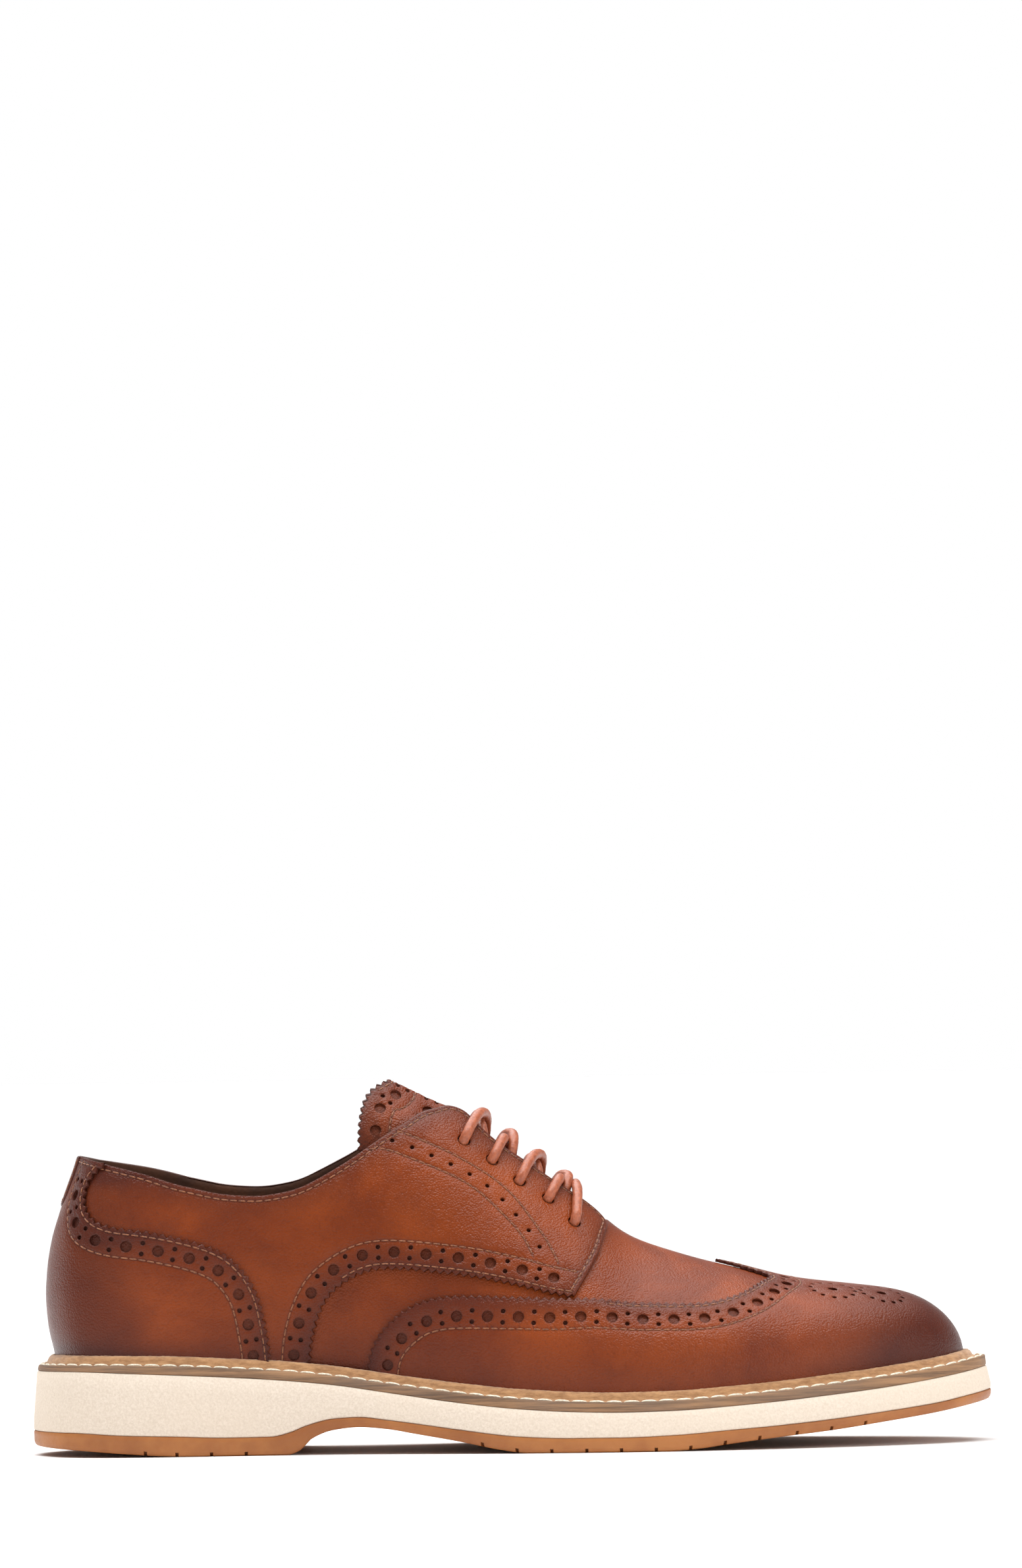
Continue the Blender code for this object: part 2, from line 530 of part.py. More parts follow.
for side, nm in ((0, "lateral"), (1, "medial")):
    k_seam = 0.0016
    kh = k_at_x(side, HEEL_CENTRE_X)
    hk = [k_seam] + [kh * f for f in (0.12, 0.24, 0.36, 0.44, 0.56, 0.70, 0.85)]
    xs = [-104.9, -95, -85, -75, -68, -65.3, -64.0, -62.0, -58.5, -53, -45, -35, -26, -17, -8,
          0, 8, 15, 19.7, 24, 28, 30.2, 31.1]
    q = shell("quarter_" + nm, [strip(side, quarter_cols(side, xs, low_z, top_z, hk), QUARTER_IN + QUARTER_T, 6)],
              QUARTER_T, COGNAC)
    for i, (hx, hz) in enumerate(LACE_HOLES):
        k, t = kt(side, hx, z=hz - 1.3)
        p, nn = surf(side, k, t, 0.9)[0], normal(side, k, t)[0]
        bm = bmesh.new()
        bmesh.ops.create_cone(bm, cap_ends=True, segments=12, radius1=LACE_HOLE_D / 2 * MM,
                              radius2=LACE_HOLE_D / 2 * MM, depth=7 * MM)
        bmesh.ops.transform(bm, verts=bm.verts, matrix=Matrix.Translation(Vector(p) * MM)
                            @ Vector(nn).to_track_quat("Z", "Y").to_matrix().to_4x4())
        cut(q, tool(add("hole_%s_%d" % (nm, i), bm, STEEL)))
    # quarter lining: to 1.2 mm under the topline, ends behind the lace holes
    lin_top = lambda x: float(top_z(x)) - 1.0 if x < -28 else float(np.interp(x, [-28, -22, -14, -6, 3, 12, 20, 26],
                                                                              [101.0, 86, 80, 75, 69, 63, 57, 52]))
    lx = [-104.9, -92, -80, -68, -56, -44, -34, -28, -22, -14, -6, 3, 12, 19.5]
    hk2 = [k_seam] + [kh * f for f in (0.2, 0.4, 0.6, 0.8)]
    shell("quarter_lining_" + nm, [strip(side, quarter_cols(side, lx, lambda x: 0, lin_top, hk2, -1.0), LINING_TOP, 5)],
          LINING_T, LINING)

# vamp: one piece from leg to leg round the toe, closed over the ridge ahead of the throat
VX = [-75.5, -74, -71, -65, -56, -44, -30, -14, 0, 12, 20, 25, 28, 30.5, 37, 46, 56, 66, 78, 90, 102, 113,
      123, 131, 137, 141, 143.2, 144.1]


def vamp_sheet(side, off, xs, n, throat, high, t_low=0.0):
    cols = []
    for x in xs:
        k = 1.0 if x >= TIP_X else k_at_x(side, x)
        t1 = 1.0 if x >= throat else kt(side, x, z=high(x))[1]
        cols.append((k, t_low, t1))
    return strip(side, cols, off, n)


vh = lambda x: float(vhigh_z(x)) if x < 27 else float(np.interp(x, [27, 28, VAMP_THROAT_X], [69.0, 71.5, 73.2]))
shell("vamp", [vamp_sheet(s, 0.0, VX, 8, VAMP_THROAT_X, vh) for s in (0, 1)], VAMP_T, COGNAC)
LX = [21, 30, 38, 42, 44.5, 56, 70, 85, 100, 113, 124, 132, 138, 141.5, 143.4, 144.1]
lh = lambda x: float(np.interp(x, [21, 30, 38, 42, 44], [50.0, 50.0, 51.0, 55.0, 60.0]))
shell("vamp_lining", [vamp_sheet(s, LINING_TOP, LX, 6, 44.0, lh) for s in (0, 1)], LINING_T, LINING)
PX = [108, 116, 124, 131, 136.5, 140.5, 143.2, 144.1]
shell("toe_puff", [vamp_sheet(s, PUFF_TOP, PX, 6, 0, None) for s in (0, 1)], PUFF_T, BOARD)

# wingtip: rows of equal t run from its edge to the toe tip
for_w = []
for side in (0, 1):
    e = [kt(side, x, z=z) if z else (k_at_x(side, x), 0.0) for x, z in WING_EDGE] + \
        [kt(side, x, y=y) if y else (k_at_x(side, x), 1.0) for x, y in WING_PEAK]
    e = np.array(e)
    tt = np.maximum.accumulate(e[:, 1] + np.arange(len(e)) * 1e-6)
    rows = [0.015, 0.10, 0.19, 0.27, 0.34, 0.41, 0.48, 0.55, 0.63, 0.72, 0.81, 0.89, 0.95, 1.0]
    xe = np.interp(e[:, 0], FK[side], FEATHER[side][:, 0])
    pts = []
    for f in np.linspace(0, 1, 17):                  # closer together towards the tip
        row = []
        for t in rows:
            x = TIP_X - (TIP_X - float(np.interp(t, tt, xe))) * (1 - f)**1.75
            row.append(surf(side, 1.0 if f == 1 else k_at_x(side, x), t, WING_IN + WING_T)[0])
        pts.append(row)
    for_w.append((pts, side == 1))
shell("wingtip", for_w, WING_T, BURNISH)

# heel foxing with its back strap, over both quarters
sheets = []
for side in (0, 1):
    kh = k_at_x(side, HEEL_CENTRE_X)
    cols = [(kh * f, 0.0, heel_top(side, kh * f, -0.6)) for f in (0, 0.12, 0.24, 0.36)]
    for f in (0.44, 0.56, 0.70, 0.85):
        k = kh * f
        t = 0.6
        for _ in range(6):
            t = heel_t(side, k, float(fox_z(float(base(side, k, t)[0][0]))))
        cols.append((k, 0.0, t))
    for x in (-104.9, -99, -93, -87.5, -83.5, -81, -79.2, -78.0):
        cols.append((k_at_x(side, x), 0.0, kt(side, x, z=float(fox_z(x)))[1]))
    sheets.append(strip(side, cols, FOX_IN + FOX_T, 6))
shell("heel_foxing", sheets, FOX_T, BURNISH)

# back tab at the top of the back seam
sheets = []
for side in (0, 1):
    kh = k_at_x(side, HEEL_CENTRE_X)
    sheets.append(strip(side, [(kh * f, heel_t(side, kh * f, 77.0), heel_top(side, kh * f, -1.4)) for f in (0, 0.08, 0.16, 0.22)],
                        TAB_IN + TAB_T, 3))
shell("back_tab", sheets, TAB_T, BURNISH)

# heel counter between quarter and lining
sheets = []
for side in (0, 1):
    kh = k_at_x(side, HEEL_CENTRE_X)
    cols = [(kh * f, 0.0, heel_t(side, kh * f, 70.0)) for f in (0, 0.2, 0.4, 0.6, 0.8)]
    cols += [(k_at_x(side, x), 0.0, kt(side, x, z=z)[1]) for x, z in ((-104.9, 66), (-96, 60), (-88, 48), (-84, 38))]
    sheets.append(strip(side, cols, COUNTER_TOP, 5))
shell("heel_counter", sheets, COUNTER_T, BOARD)


# ---------------------------------------------------------------- tongue
def tongue_off(ay, x):
    crown = np.interp(x, [-40, 12, 24], [-1.6, -1.6, -2.4])
    deep = float(np.interp(x, [-24, -14], [1.2, 0.0]))           # lower under the collar
    return float(np.interp(ay, [0, 4.5, 8.5, 14, 17.5, 21, 25],
                           [crown, crown - 1.8, crown - 2.7, -4.5 - deep, -5.4 - deep, -7.4 - deep, -8.0 - deep]))


def tongue_half(side, x, trim):
    """Half width of the tongue: it ends a set drop below the ridge."""
    drop = float(np.interp(x, [-50, 0, 30, 44], [25.5, 21.0, 13.0, 8.5]))
    k, t = kt(side, x, z=ridge_z(x).item() - drop)
    return abs(base(side, k, t)[0][1] - float(ridge_y(x))) - trim


def tongue_pts(xa, end_extra, trim, drop, ni, nj):
    """Tongue surface from x = xa back to its rounded end."""
    rows = []
    for i in range(ni + 1):
        f = i / ni
        row = []
        for j in range(-nj, nj + 1):
            g = j / nj
            side = 0 if j < 0 else 1
            x = xa + (-39.6 - 7.2 * (abs(g) ** 1.6) + end_extra - xa) * f
            ay = abs(g) * tongue_half(side, x, trim)
            k, t = kt(side, x, y=ay) if ay > 0 else (k_at_x(side, x), 1.0)
            row.append(surf(side, k, t, tongue_off(ay, x) - drop)[0])
        rows.append(row)
    return rows


shell("tongue", [(tongue_pts(36.5, 0.0, 0.0, 0.0, 11, 7), False)], TONGUE_T, COGNAC)
shell("tongue_lining", [(tongue_pts(34.0, 1.5, 1.5, TONGUE_T + 0.5, 9, 6), False)], TONGUE_LINING_T, LINING)
shell("tongue_overlay", [(tongue_pts(-22.0, 1.0, 3.0, -1.15, 4, 7), False)], 0.7, BURNISH)
for nm in ("tongue", "tongue_lining", "tongue_overlay"):
    me = bpy.data.objects[nm].data
    me.flip_normals()


# ---------------------------------------------------------------- lace
def over(side, hole, mid_x, f, off):
    """Point a fraction f of the way from a lace hole to the throat centre at mid_x."""
    hx, hz = LACE_HOLES[hole]
    k, t = kt(side, hx, z=hz - 1.3)
    y0 = abs(base(side, k, t)[0][1])
    x, y = hx + (mid_x - hx) * f, y0 * (1 - f)
    k, t = kt(side, x, y=y) if y > 0.05 else (k_at_x(side, x), 1.0)
    return surf(side, k, t, off)[0]


def hole_y(side, hole):
    k, t = kt(side, LACE_HOLES[hole][0], z=LACE_HOLES[hole][1] - 1.3)
    return abs(base(side, k, t)[0][1])


def cross(a_side, low_hole, high):
    """From under the facing at a_side's low_hole, over the throat, into the other side's next hole."""
    b_side = 1 - a_side
    up = low_hole + 1
    mid = (LACE_HOLES[low_hole][0] + LACE_HOLES[up][0]) / 2 + 1.5
    ya, yb = hole_y(a_side, low_hole), hole_y(b_side, up)
    fa, fb = (lambda y: 1 - y / ya), (lambda y: 1 - y / yb)
    ea, eb = (float(facing_y(LACE_HOLES[i][0])) for i in (low_hole, up))
    pts = [over(a_side, low_hole, mid, 1.0 / ya, -1.3), over(a_side, low_hole, mid, 4.2 / ya, -1.9),
           over(a_side, low_hole, mid, fa(ea), -1.75)]
    for y, o in ((ea - 2.5, 1.3 if high else -0.6), (ea - 5.5, 3.9 if high else 0.5)):
        pts.append(over(a_side, low_hole, mid, fa(y), o))
    pts.append(over(b_side, up, mid, 1.0, 4.4 if high else 0.9))
    for y, o in ((eb - 5.5, 4.6 if high else 1.5), (eb - 2.0, 4.5 if high else 3.2), (eb + 0.6, 4.4)):
        pts.append(over(b_side, up, mid, fb(y), o))
    pts += [over(b_side, up, mid, 4.2 / yb, 4.35), over(b_side, up, mid, 1.0 / yb, 3.9), over(b_side, up, mid, 0.0, 1.3)]
    return pts


def lace_end(side):
    """Free end: inside the quarter lining, down to the footbed's edge and forwards along it."""
    w = LINING_TOP - LINING_T - LACE_D / 2 - 0.7
    route = [(-15.2, 97.4, -1.5), (-17.0, 94.8, -2.3), (-19.0, 92.0, -3.6), (-21.6, 88.6, -5.5), (-25.5, 85.0, w), (-30.0, 77.5, w),
             (-33.4, 69.0, w), (-35.4, 60.0, w), (-35.2, 51.5, w), (-32.4, 44.0, w), (-27.0, 38.2, w),
             (-19.5, 34.6, w), (-11.0, 32.3, w), (-2.5, 30.4, w), (6.0, 29.1, w), (14.0, 28.3, w), (20.0, 27.8, w - 0.3)]
    pts = []
    for x, z, off in route:
        k, t = kt(side, x, z=z)
        pts.append(surf(side, k, t, off)[0])
    return pts


# crossings from the toe up; the strand that goes over from the medial side is on top at rows 5 and 3
legs = {}
for start in (0, 1):                       # side of the lowest hole the leg leaves from
    s, pts = start, []
    for row in range(4):                   # to rows 2, 3, 4, 5
        to_lateral = (1 - s) == 0
        high = to_lateral if row in (1, 3) else not to_lateral
        pts += cross(s, row, high)
        s = 1 - s
    legs[start] = pts + lace_end(s)
bar = []
for side in (0, 1):
    y0 = hole_y(side, 0)
    seg = [over(side, 0, LACE_HOLES[0][0], f, o) for f, o in ((0.0, 1.3), (1.0 / y0, 3.9), (4.2 / y0, 4.35), (1 - 8.8 / y0, 4.3), (1 - 4.5 / y0, 3.7))]
    bar.append(seg)
mid_pt = surf(0, k_at_x(0, LACE_HOLES[0][0]), 1.0, 3.0)[0]
lace_pts = legs[0][::-1] + bar[0] + [mid_pt] + bar[1][::-1] + legs[1]


def tube(name, pts, dia, mat, res=2):
    cu = bpy.data.curves.new(name, "CURVE")
    cu.dimensions = "3D"
    sp = cu.splines.new("POLY")
    sp.points.add(len(pts) - 1)
    for p, q in zip(sp.points, pts):
        p.co = (*(Vector([float(c) for c in q]) * MM + OFFSET), 1)
    cu.bevel_depth = dia / 2 * MM
    cu.bevel_resolution = res
    cu.use_fill_caps = True
    cu.materials.append(mat)
    ob = bpy.data.objects.new(name, cu)
    shoe.objects.link(ob)
    return ob


tube("lace", lace_pts, LACE_D, LACE)
LACE_LENGTH = float(np.sum(np.linalg.norm(np.diff(np.array(lace_pts), axis=0), axis=1)))
for side, pts in ((1, lace_pts[:2]), (0, lace_pts[-1:-3:-1])):
    end, d = np.array(pts[0]), np.array(pts[0]) - np.array(pts[1])
    d /= np.linalg.norm(d)
    bm = bmesh.new()
    bmesh.ops.create_cone(bm, cap_ends=True, segments=10, radius1=AGLET_D / 2 * MM, radius2=AGLET_D / 2 * 0.85 * MM, depth=AGLET_LEN * MM)
    c = end + d * (AGLET_LEN / 2 + GAP)
    bmesh.ops.transform(bm, verts=bm.verts, matrix=Matrix.Translation(Vector(c) * MM) @ Vector(d).to_track_quat("Z", "Y").to_matrix().to_4x4())
    add("aglet_" + ("lateral" if c[1] < 0 else "medial"), bm, AGLET)
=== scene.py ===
"""Looks of the wingtip brogue derby: fine leather pieces, seams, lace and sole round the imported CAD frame."""

import math

import bpy
import bmesh
import numpy as np
from mathutils import Matrix, Vector
from mathutils.geometry import delaunay_2d_cdt
from mathutils.kdtree import KDTree


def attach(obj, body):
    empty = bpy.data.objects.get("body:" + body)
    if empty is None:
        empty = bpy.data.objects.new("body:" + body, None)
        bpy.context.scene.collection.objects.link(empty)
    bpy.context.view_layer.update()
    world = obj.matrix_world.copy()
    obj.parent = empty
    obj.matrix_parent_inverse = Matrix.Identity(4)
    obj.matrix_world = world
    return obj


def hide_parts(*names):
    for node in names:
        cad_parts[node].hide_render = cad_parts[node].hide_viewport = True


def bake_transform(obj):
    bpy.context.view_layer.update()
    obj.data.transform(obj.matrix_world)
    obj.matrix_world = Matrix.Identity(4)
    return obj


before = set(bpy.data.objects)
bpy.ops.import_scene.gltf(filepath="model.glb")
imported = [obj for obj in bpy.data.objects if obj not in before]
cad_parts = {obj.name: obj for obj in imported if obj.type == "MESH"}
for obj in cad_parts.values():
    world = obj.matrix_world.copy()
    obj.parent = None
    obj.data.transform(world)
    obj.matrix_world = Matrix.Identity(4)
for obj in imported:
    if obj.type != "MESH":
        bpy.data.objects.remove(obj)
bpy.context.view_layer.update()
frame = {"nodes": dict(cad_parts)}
RNG = np.random.default_rng(7)
MM = 0.001

# ------------------------------------------------------------------ the shoe's form, as in the CAD (mm)
Y_SHIFT = 1.43
FEATHER_INSET = 9.8
GAP = 0.30
HEEL_CENTRE_X = -105.0
LINING_TOP, LINING_T = -2.90, 0.80
LACE_D = 3.2
AGLET_LEN, AGLET_D = 18.0, 3.0
# plan outline of the sole, heel centre -> lateral side -> toe -> medial side
OUTLINE = [(-154.2, 0), (-150.8, -16.5), (-142.5, -29.5), (-127, -37), (-110, -38.6),
           (-80, -37.4), (-50, -40), (-16, -48), (18, -54), (43, -55.2), (71, -51.6),
           (103, -42.5), (131, -29.5), (145.5, -17.5), (152.3, -5), (153.9, 6),
           (150.8, 17), (142, 28.5), (126, 38.2), (100, 46.8), (67, 52.2), (35, 50),
           (0, 41.8), (-40, 34.6), (-76, 35.6), (-110, 38.6), (-127, 37), (-142.5, 29.5),
           (-150.8, 16.5)]

# heights along the shoe (x, z)
Z_GROUND = [(-156, 3.2), (-140, 2.3), (-124, 1.1), (-112, 0.3), (-104, 0), (-72, 0), (-68, 1.4),
            (-64, 5.2), (-57, 7.8), (-49, 8.6), (-40, 7.9), (-32, 6.5), (-16, 3.6), (-4, 1.1),
            (5, 0), (48, 0), (58, 0.6), (68, 1.9), (84, 3.7), (101, 5.4), (118, 7.6), (136, 10.1),
            (145, 11.7), (156, 13.7)]
Z_OUTSOLE = [(-156, 7.9), (-141, 7.8), (-124, 6.9), (-107, 6.4), (-91, 5.8), (-77, 5.9), (-71, 7.2),
             (-66, 9.2), (-57, 11.4), (-49, 11.8), (-41, 10.9), (-32, 9.7), (-16, 7.4), (1, 5.3),
             (18, 4.6), (34, 4.6), (51, 5.1), (68, 6.3), (84, 7.4), (101, 8.9), (118, 10.8),
             (136, 13.1), (145, 14.8), (156, 16.8)]
Z_MIDSOLE = [(-156, 26.8), (-141, 27.2), (-124, 26.6), (-107, 25.8), (-91, 24.9), (-74, 23.7),
             (-57, 22.0), (-41, 19.6), (-16, 15.9), (1, 14.0), (18, 12.9), (34, 12.5), (51, 12.8),
             (68, 13.8), (84, 15.0), (101, 16.6), (118, 18.4), (136, 20.9), (145, 22.4), (156, 24.5)]
Z_BAND = [(-156, 28.5), (-141, 29.1), (-124, 29.0), (-107, 28.6), (-91, 27.7), (-74, 26.6),
          (-57, 24.8), (-41, 22.4), (-16, 18.9), (1, 17.1), (18, 16.0), (34, 15.6), (51, 15.9),
          (68, 16.9), (84, 18.2), (101, 19.9), (118, 21.8), (136, 24.2), (145, 25.8), (156, 27.9)]
FLANGE_T = 1.3               # storm welt flange, its top is Z_BAND

# back seam line of the vamp layer (z, x) and its ridge (x, z)
BACK = [(24, -143.6), (32, -144.4), (42, -146.4), (51, -147.0), (59, -146.5), (68, -145.0),
        (76, -142.6), (84, -139.8), (91, -137.2), (98, -135.0), (112, -131.5), (130, -129.0)]
RIDGE = [(144.1, 26.0), (143.8, 29.6), (141.5, 35.6), (135.5, 42.0), (129, 45.6), (122, 47.6),
         (112.6, 49.0), (100, 50.5), (87, 52.6), (74.3, 56.0), (61.5, 59.3), (48.8, 63.2),
         (42.4, 65.5), (36, 68.8), (30, 73.6), (22, 81.0), (15, 86.6), (6, 93.9), (-4.4, 101.6),
         (-17, 111.0), (-28, 116.2), (-39, 120.0), (-55, 124), (-75, 127), (-100, 128), (-116, 128)]
RIDGE_Y = [(-116, 0), (40, 0), (70, 0.8), (100, 2.4), (125, 4.2), (144.1, 6.0)]
# section shape along x: bulge ratio, height of the side's control, width of the shoulder's control
SEC = [(-116, 0.22, 0.45, 0.70), (-80, 0.22, 0.45, 0.68), (-50, 0.22, 0.45, 0.62),
       (-20, 0.20, 0.45, 0.50), (0, 0.19, 0.45, 0.40), (20, 0.18, 0.46, 0.38),
       (36, 0.18, 0.50, 0.42), (60, 0.18, 0.56, 0.52), (90, 0.20, 0.64, 0.60),
       (120, 0.22, 0.74, 0.66), (144.1, 0.22, 0.80, 0.66)]

# pattern lines on the side of the shoe (x, z)
TOPLINE = [(-136.4, 95.0), (-128.4, 92.6), (-116.6, 89.5), (-106.7, 86.1), (-94.6, 83.2),
           (-87.4, 82.3), (-77.8, 82.0), (-69.3, 83.2), (-60.9, 86.4), (-48.2, 92.8),
           (-35.5, 99.8), (-27.0, 105.0), (-20.6, 108.4), (-17.0, 108.9), (-10.2, 103.9),
           (-4.4, 98.6), (6.1, 91.8), (14.9, 85.2), (22.0, 79.9), (27.5, 75.8), (31.2, 71.5)]
QUARTER_LOW = [(-65.2, 0), (-64.3, 33.6), (-63.0, 40.0), (-61.3, 44.8), (-58.0, 50.4),
               (-53.2, 54.4), (-44.4, 58.2), (-38.6, 58.6), (-29.0, 57.9), (-13.0, 55.8),
               (2.9, 52.4), (10.9, 50.3), (19.7, 48.6), (24.0, 55.5), (28.3, 62.9), (31.2, 68.6)]
VAMP_HIGH = [(-76, 0), (-75, 36), (-72, 48), (-66, 56), (-58, 62), (-44, 66.5), (-29, 66.5),
             (-13, 64.5), (3, 61), (14, 58.5), (20, 58.5), (24, 63), (27, 69)]
VAMP_THROAT_X = 30.5
FOX_TOP = [(-131.9, 74.6), (-126.3, 72.3), (-118.3, 71.2), (-108.6, 69.4), (-99.0, 66.8),
           (-91.0, 63.1), (-84.7, 56.9), (-80.8, 49.6), (-78.9, 41.5), (-77.8, 35.0), (-77.2, 31.0)]
WING_EDGE = [(-47.5, 0), (-44.5, 32.9), (-41.3, 38.5), (-36.4, 43.2), (-30.7, 46.8), (-25.1, 48.5),
             (-16.3, 49.3), (-5.1, 48.9), (6.9, 48.3), (18.9, 47.8), (34.8, 46.5), (47.5, 45.6),
             (60.9, 45.5), (69.2, 46.9), (74.4, 48.6), (79.0, 50.8)]
WING_PEAK = [(81.6, 15.5), (82.8, 11.0), (82.0, 8.5), (77.0, 5.5), (71.0, 2.5), (65.6, 0.0)]  # (x, |y|)
FACING_Y = [(-17, 12.0), (-6, 11.2), (3, 10.2), (12, 9.2), (20, 8.2), (26, 7.2), (29, 7.8), (30.5, 9.4), (31.2, 12.2)]
FACING_TOP_X = -17.0
LACE_HOLES = [(19.9, 72.7), (11.6, 80.3), (2.6, 86.1), (-6.1, 93.0), (-14.9, 99.5)]


# ---------------------------------------------------------------- curves
def spline(pts, cyclic=False):
    """Natural or periodic cubic spline through points; returns f(u) and the knots."""
    p = np.array(pts, float)
    if cyclic:
        p = np.vstack([p, p[:1]])
        u = np.concatenate([[0], np.cumsum(np.linalg.norm(np.diff(p, axis=0), axis=1))])
        v = p
    else:
        u, v = p[:, 0], p[:, 1:]
    n = len(u)
    h = np.diff(u)
    a, b = np.zeros((n, n)), np.zeros((n, v.shape[1]))
    for i in range(1, n - 1):
        a[i, i - 1], a[i, i], a[i, i + 1] = h[i - 1], 2 * (h[i - 1] + h[i]), h[i]
        b[i] = 6 * ((v[i + 1] - v[i]) / h[i] - (v[i] - v[i - 1]) / h[i - 1])
    if cyclic:
        a[0, 0], a[0, -1] = 1, -1
        a[-1, 0], a[-1, 1], a[-1, -2], a[-1, -1] = 2 * h[0], h[0], h[-1], 2 * h[-1]
        b[-1] = 6 * ((v[1] - v[0]) / h[0] - (v[-1] - v[-2]) / h[-1])
    else:
        a[0, 0] = a[-1, -1] = 1
    m = np.linalg.solve(a, b)

    def f(q):
        q = np.clip(np.atleast_1d(np.asarray(q, float)), u[0], u[-1])
        i = np.clip(np.searchsorted(u, q, side="right") - 1, 0, n - 2)
        hh = h[i][:, None]
        s, t = (u[i + 1] - q)[:, None], (q - u[i])[:, None]
        return (m[i] * s**3 + m[i + 1] * t**3) / (6 * hh) + \
            (v[i] / hh - m[i] * hh / 6) * s + (v[i + 1] / hh - m[i + 1] * hh / 6) * t
    return f, u


def line(pts):
    p = np.array(pts, float)
    return lambda q: np.interp(q, p[:, 0], p[:, 1])


def smooth(pts):
    """Monotone (Fritsch-Carlson) cubic through (x, value) points."""
    p = np.array(pts, float)
    x, y = p[:, 0], p[:, 1]
    h, d = np.diff(x), np.diff(y) / np.diff(x)
    m = np.zeros(len(x))
    m[0], m[-1] = d[0], d[-1]
    for i in range(1, len(x) - 1):
        if d[i - 1] * d[i] > 0:
            w1, w2 = 2 * h[i] + h[i - 1], h[i] + 2 * h[i - 1]
            m[i] = (w1 + w2) / (w1 / d[i - 1] + w2 / d[i])

    def f(q):
        q = np.clip(np.asarray(q, float), x[0], x[-1])
        i = np.clip(np.searchsorted(x, q, side="right") - 1, 0, len(x) - 2)
        t = (q - x[i]) / h[i]
        return (y[i] * (1 + 2 * t) * (1 - t)**2 + h[i] * m[i] * t * (1 - t)**2
                + y[i + 1] * t * t * (3 - 2 * t) + h[i] * m[i + 1] * t * t * (t - 1))
    return f


z_ground, z_outsole, z_midsole, z_band = (smooth(t) for t in (Z_GROUND, Z_OUTSOLE, Z_MIDSOLE, Z_BAND))
back_x = smooth(BACK)
TIP_X = RIDGE[0][0]
_rz, _ = spline([(math.sqrt(TIP_X - x), z) for x, z in RIDGE])
ridge_z = lambda x: _rz(np.sqrt(np.clip(TIP_X - np.asarray(x, float), 0, None)))[:, 0]
_ry = smooth(RIDGE_Y)
ridge_y = lambda x: _ry(x)
sec_a, sec_b, sec_c = (smooth([(r[0], r[i]) for r in SEC]) for i in (1, 2, 3))
feather_z = lambda x: z_band(x) - FLANGE_T + GAP

_out, _u = spline(OUTLINE, cyclic=True)
_q = np.linspace(0, _u[-1], 1441)[:-1]
EDGE = _out(_q)
_t = np.roll(EDGE, -1, 0) - np.roll(EDGE, 1, 0)
_t /= np.linalg.norm(_t, axis=1)[:, None]
EDGE_N = np.stack([_t[:, 1], -_t[:, 0]], 1)          # points out of the loop (loop runs CCW)
if np.dot(EDGE[0] - EDGE.mean(0), EDGE_N[0]) < 0:
    EDGE_N = -EDGE_N


def edge_sides(offset):
    """The outline moved out by offset, as two runs from heel centre to toe tip: lateral, medial."""
    off = offset(EDGE[:, 0]) if callable(offset) else offset
    p = EDGE + EDGE_N * (np.asarray(off) * np.ones(len(EDGE)))[:, None]
    tip = int(np.argmax(EDGE[:, 0]))
    return p[:tip + 1], np.vstack([p[:1], p[:tip - 1:-1]])


def run(side_pts):
    d = np.concatenate([[0], np.cumsum(np.linalg.norm(np.diff(side_pts, axis=0), axis=1))])
    return d / d[-1]


FEATHER = [s.copy() for s in edge_sides(-FEATHER_INSET)]
for s in FEATHER:                                    # both runs end on the ridge's own tip
    s[:, 0] = np.minimum(s[:, 0], TIP_X)
FK = [run(s) for s in FEATHER]


def bez(p0, p1, p2, p3, t):
    return p0 * (1 - t)**3 + 3 * p1 * t * (1 - t)**2 + 3 * p2 * t * t * (1 - t) + p3 * t**3


def mean_half(x):
    a, b = (np.interp(x, f[:, 0], f[:, 1]) for f in FEATHER)
    return np.abs(a - b) / 2


def section(side, x, w, t):
    zf, zr, yr = feather_z(x), ridge_z(x), ridge_y(x)
    h, half = zr - zf, w - yr
    return (bez(w, w + half * sec_a(x), yr + np.sign(half) * mean_half(x) * sec_c(x), yr, t),
            bez(zf, zf + h * sec_b(x), zr, zr, t))


def base(side, k, t):
    """Point of the vamp layer's outer surface; side 0 lateral, 1 medial; k heel to toe, t feather to ridge."""
    k, t = np.broadcast_arrays(np.atleast_1d(np.asarray(k, float)), np.asarray(t, float))
    fx, fy = np.interp(k, FK[side], FEATHER[side][:, 0]), np.interp(k, FK[side], FEATHER[side][:, 1])
    y, z = section(side, np.maximum(fx, HEEL_CENTRE_X), fy, t)
    wa = np.interp(HEEL_CENTRE_X, FEATHER[side][:, 0], FEATHER[side][:, 1])
    ya, za = section(side, np.full_like(fx, HEEL_CENTRE_X), np.full_like(fx, wa), t)
    heel = fx < HEEL_CENTRE_X
    zh = za + (feather_z(fx) - feather_z(HEEL_CENTRE_X)) * (1 - t)
    c = (HEEL_CENTRE_X - fx) / (HEEL_CENTRE_X - FEATHER[side][0, 0])
    xb = HEEL_CENTRE_X - (HEEL_CENTRE_X - back_x(zh)) * c
    x = np.where(heel, xb, fx)
    return np.stack([x, np.where(heel, ya * fy / wa, y), np.where(heel, zh, z)], -1)


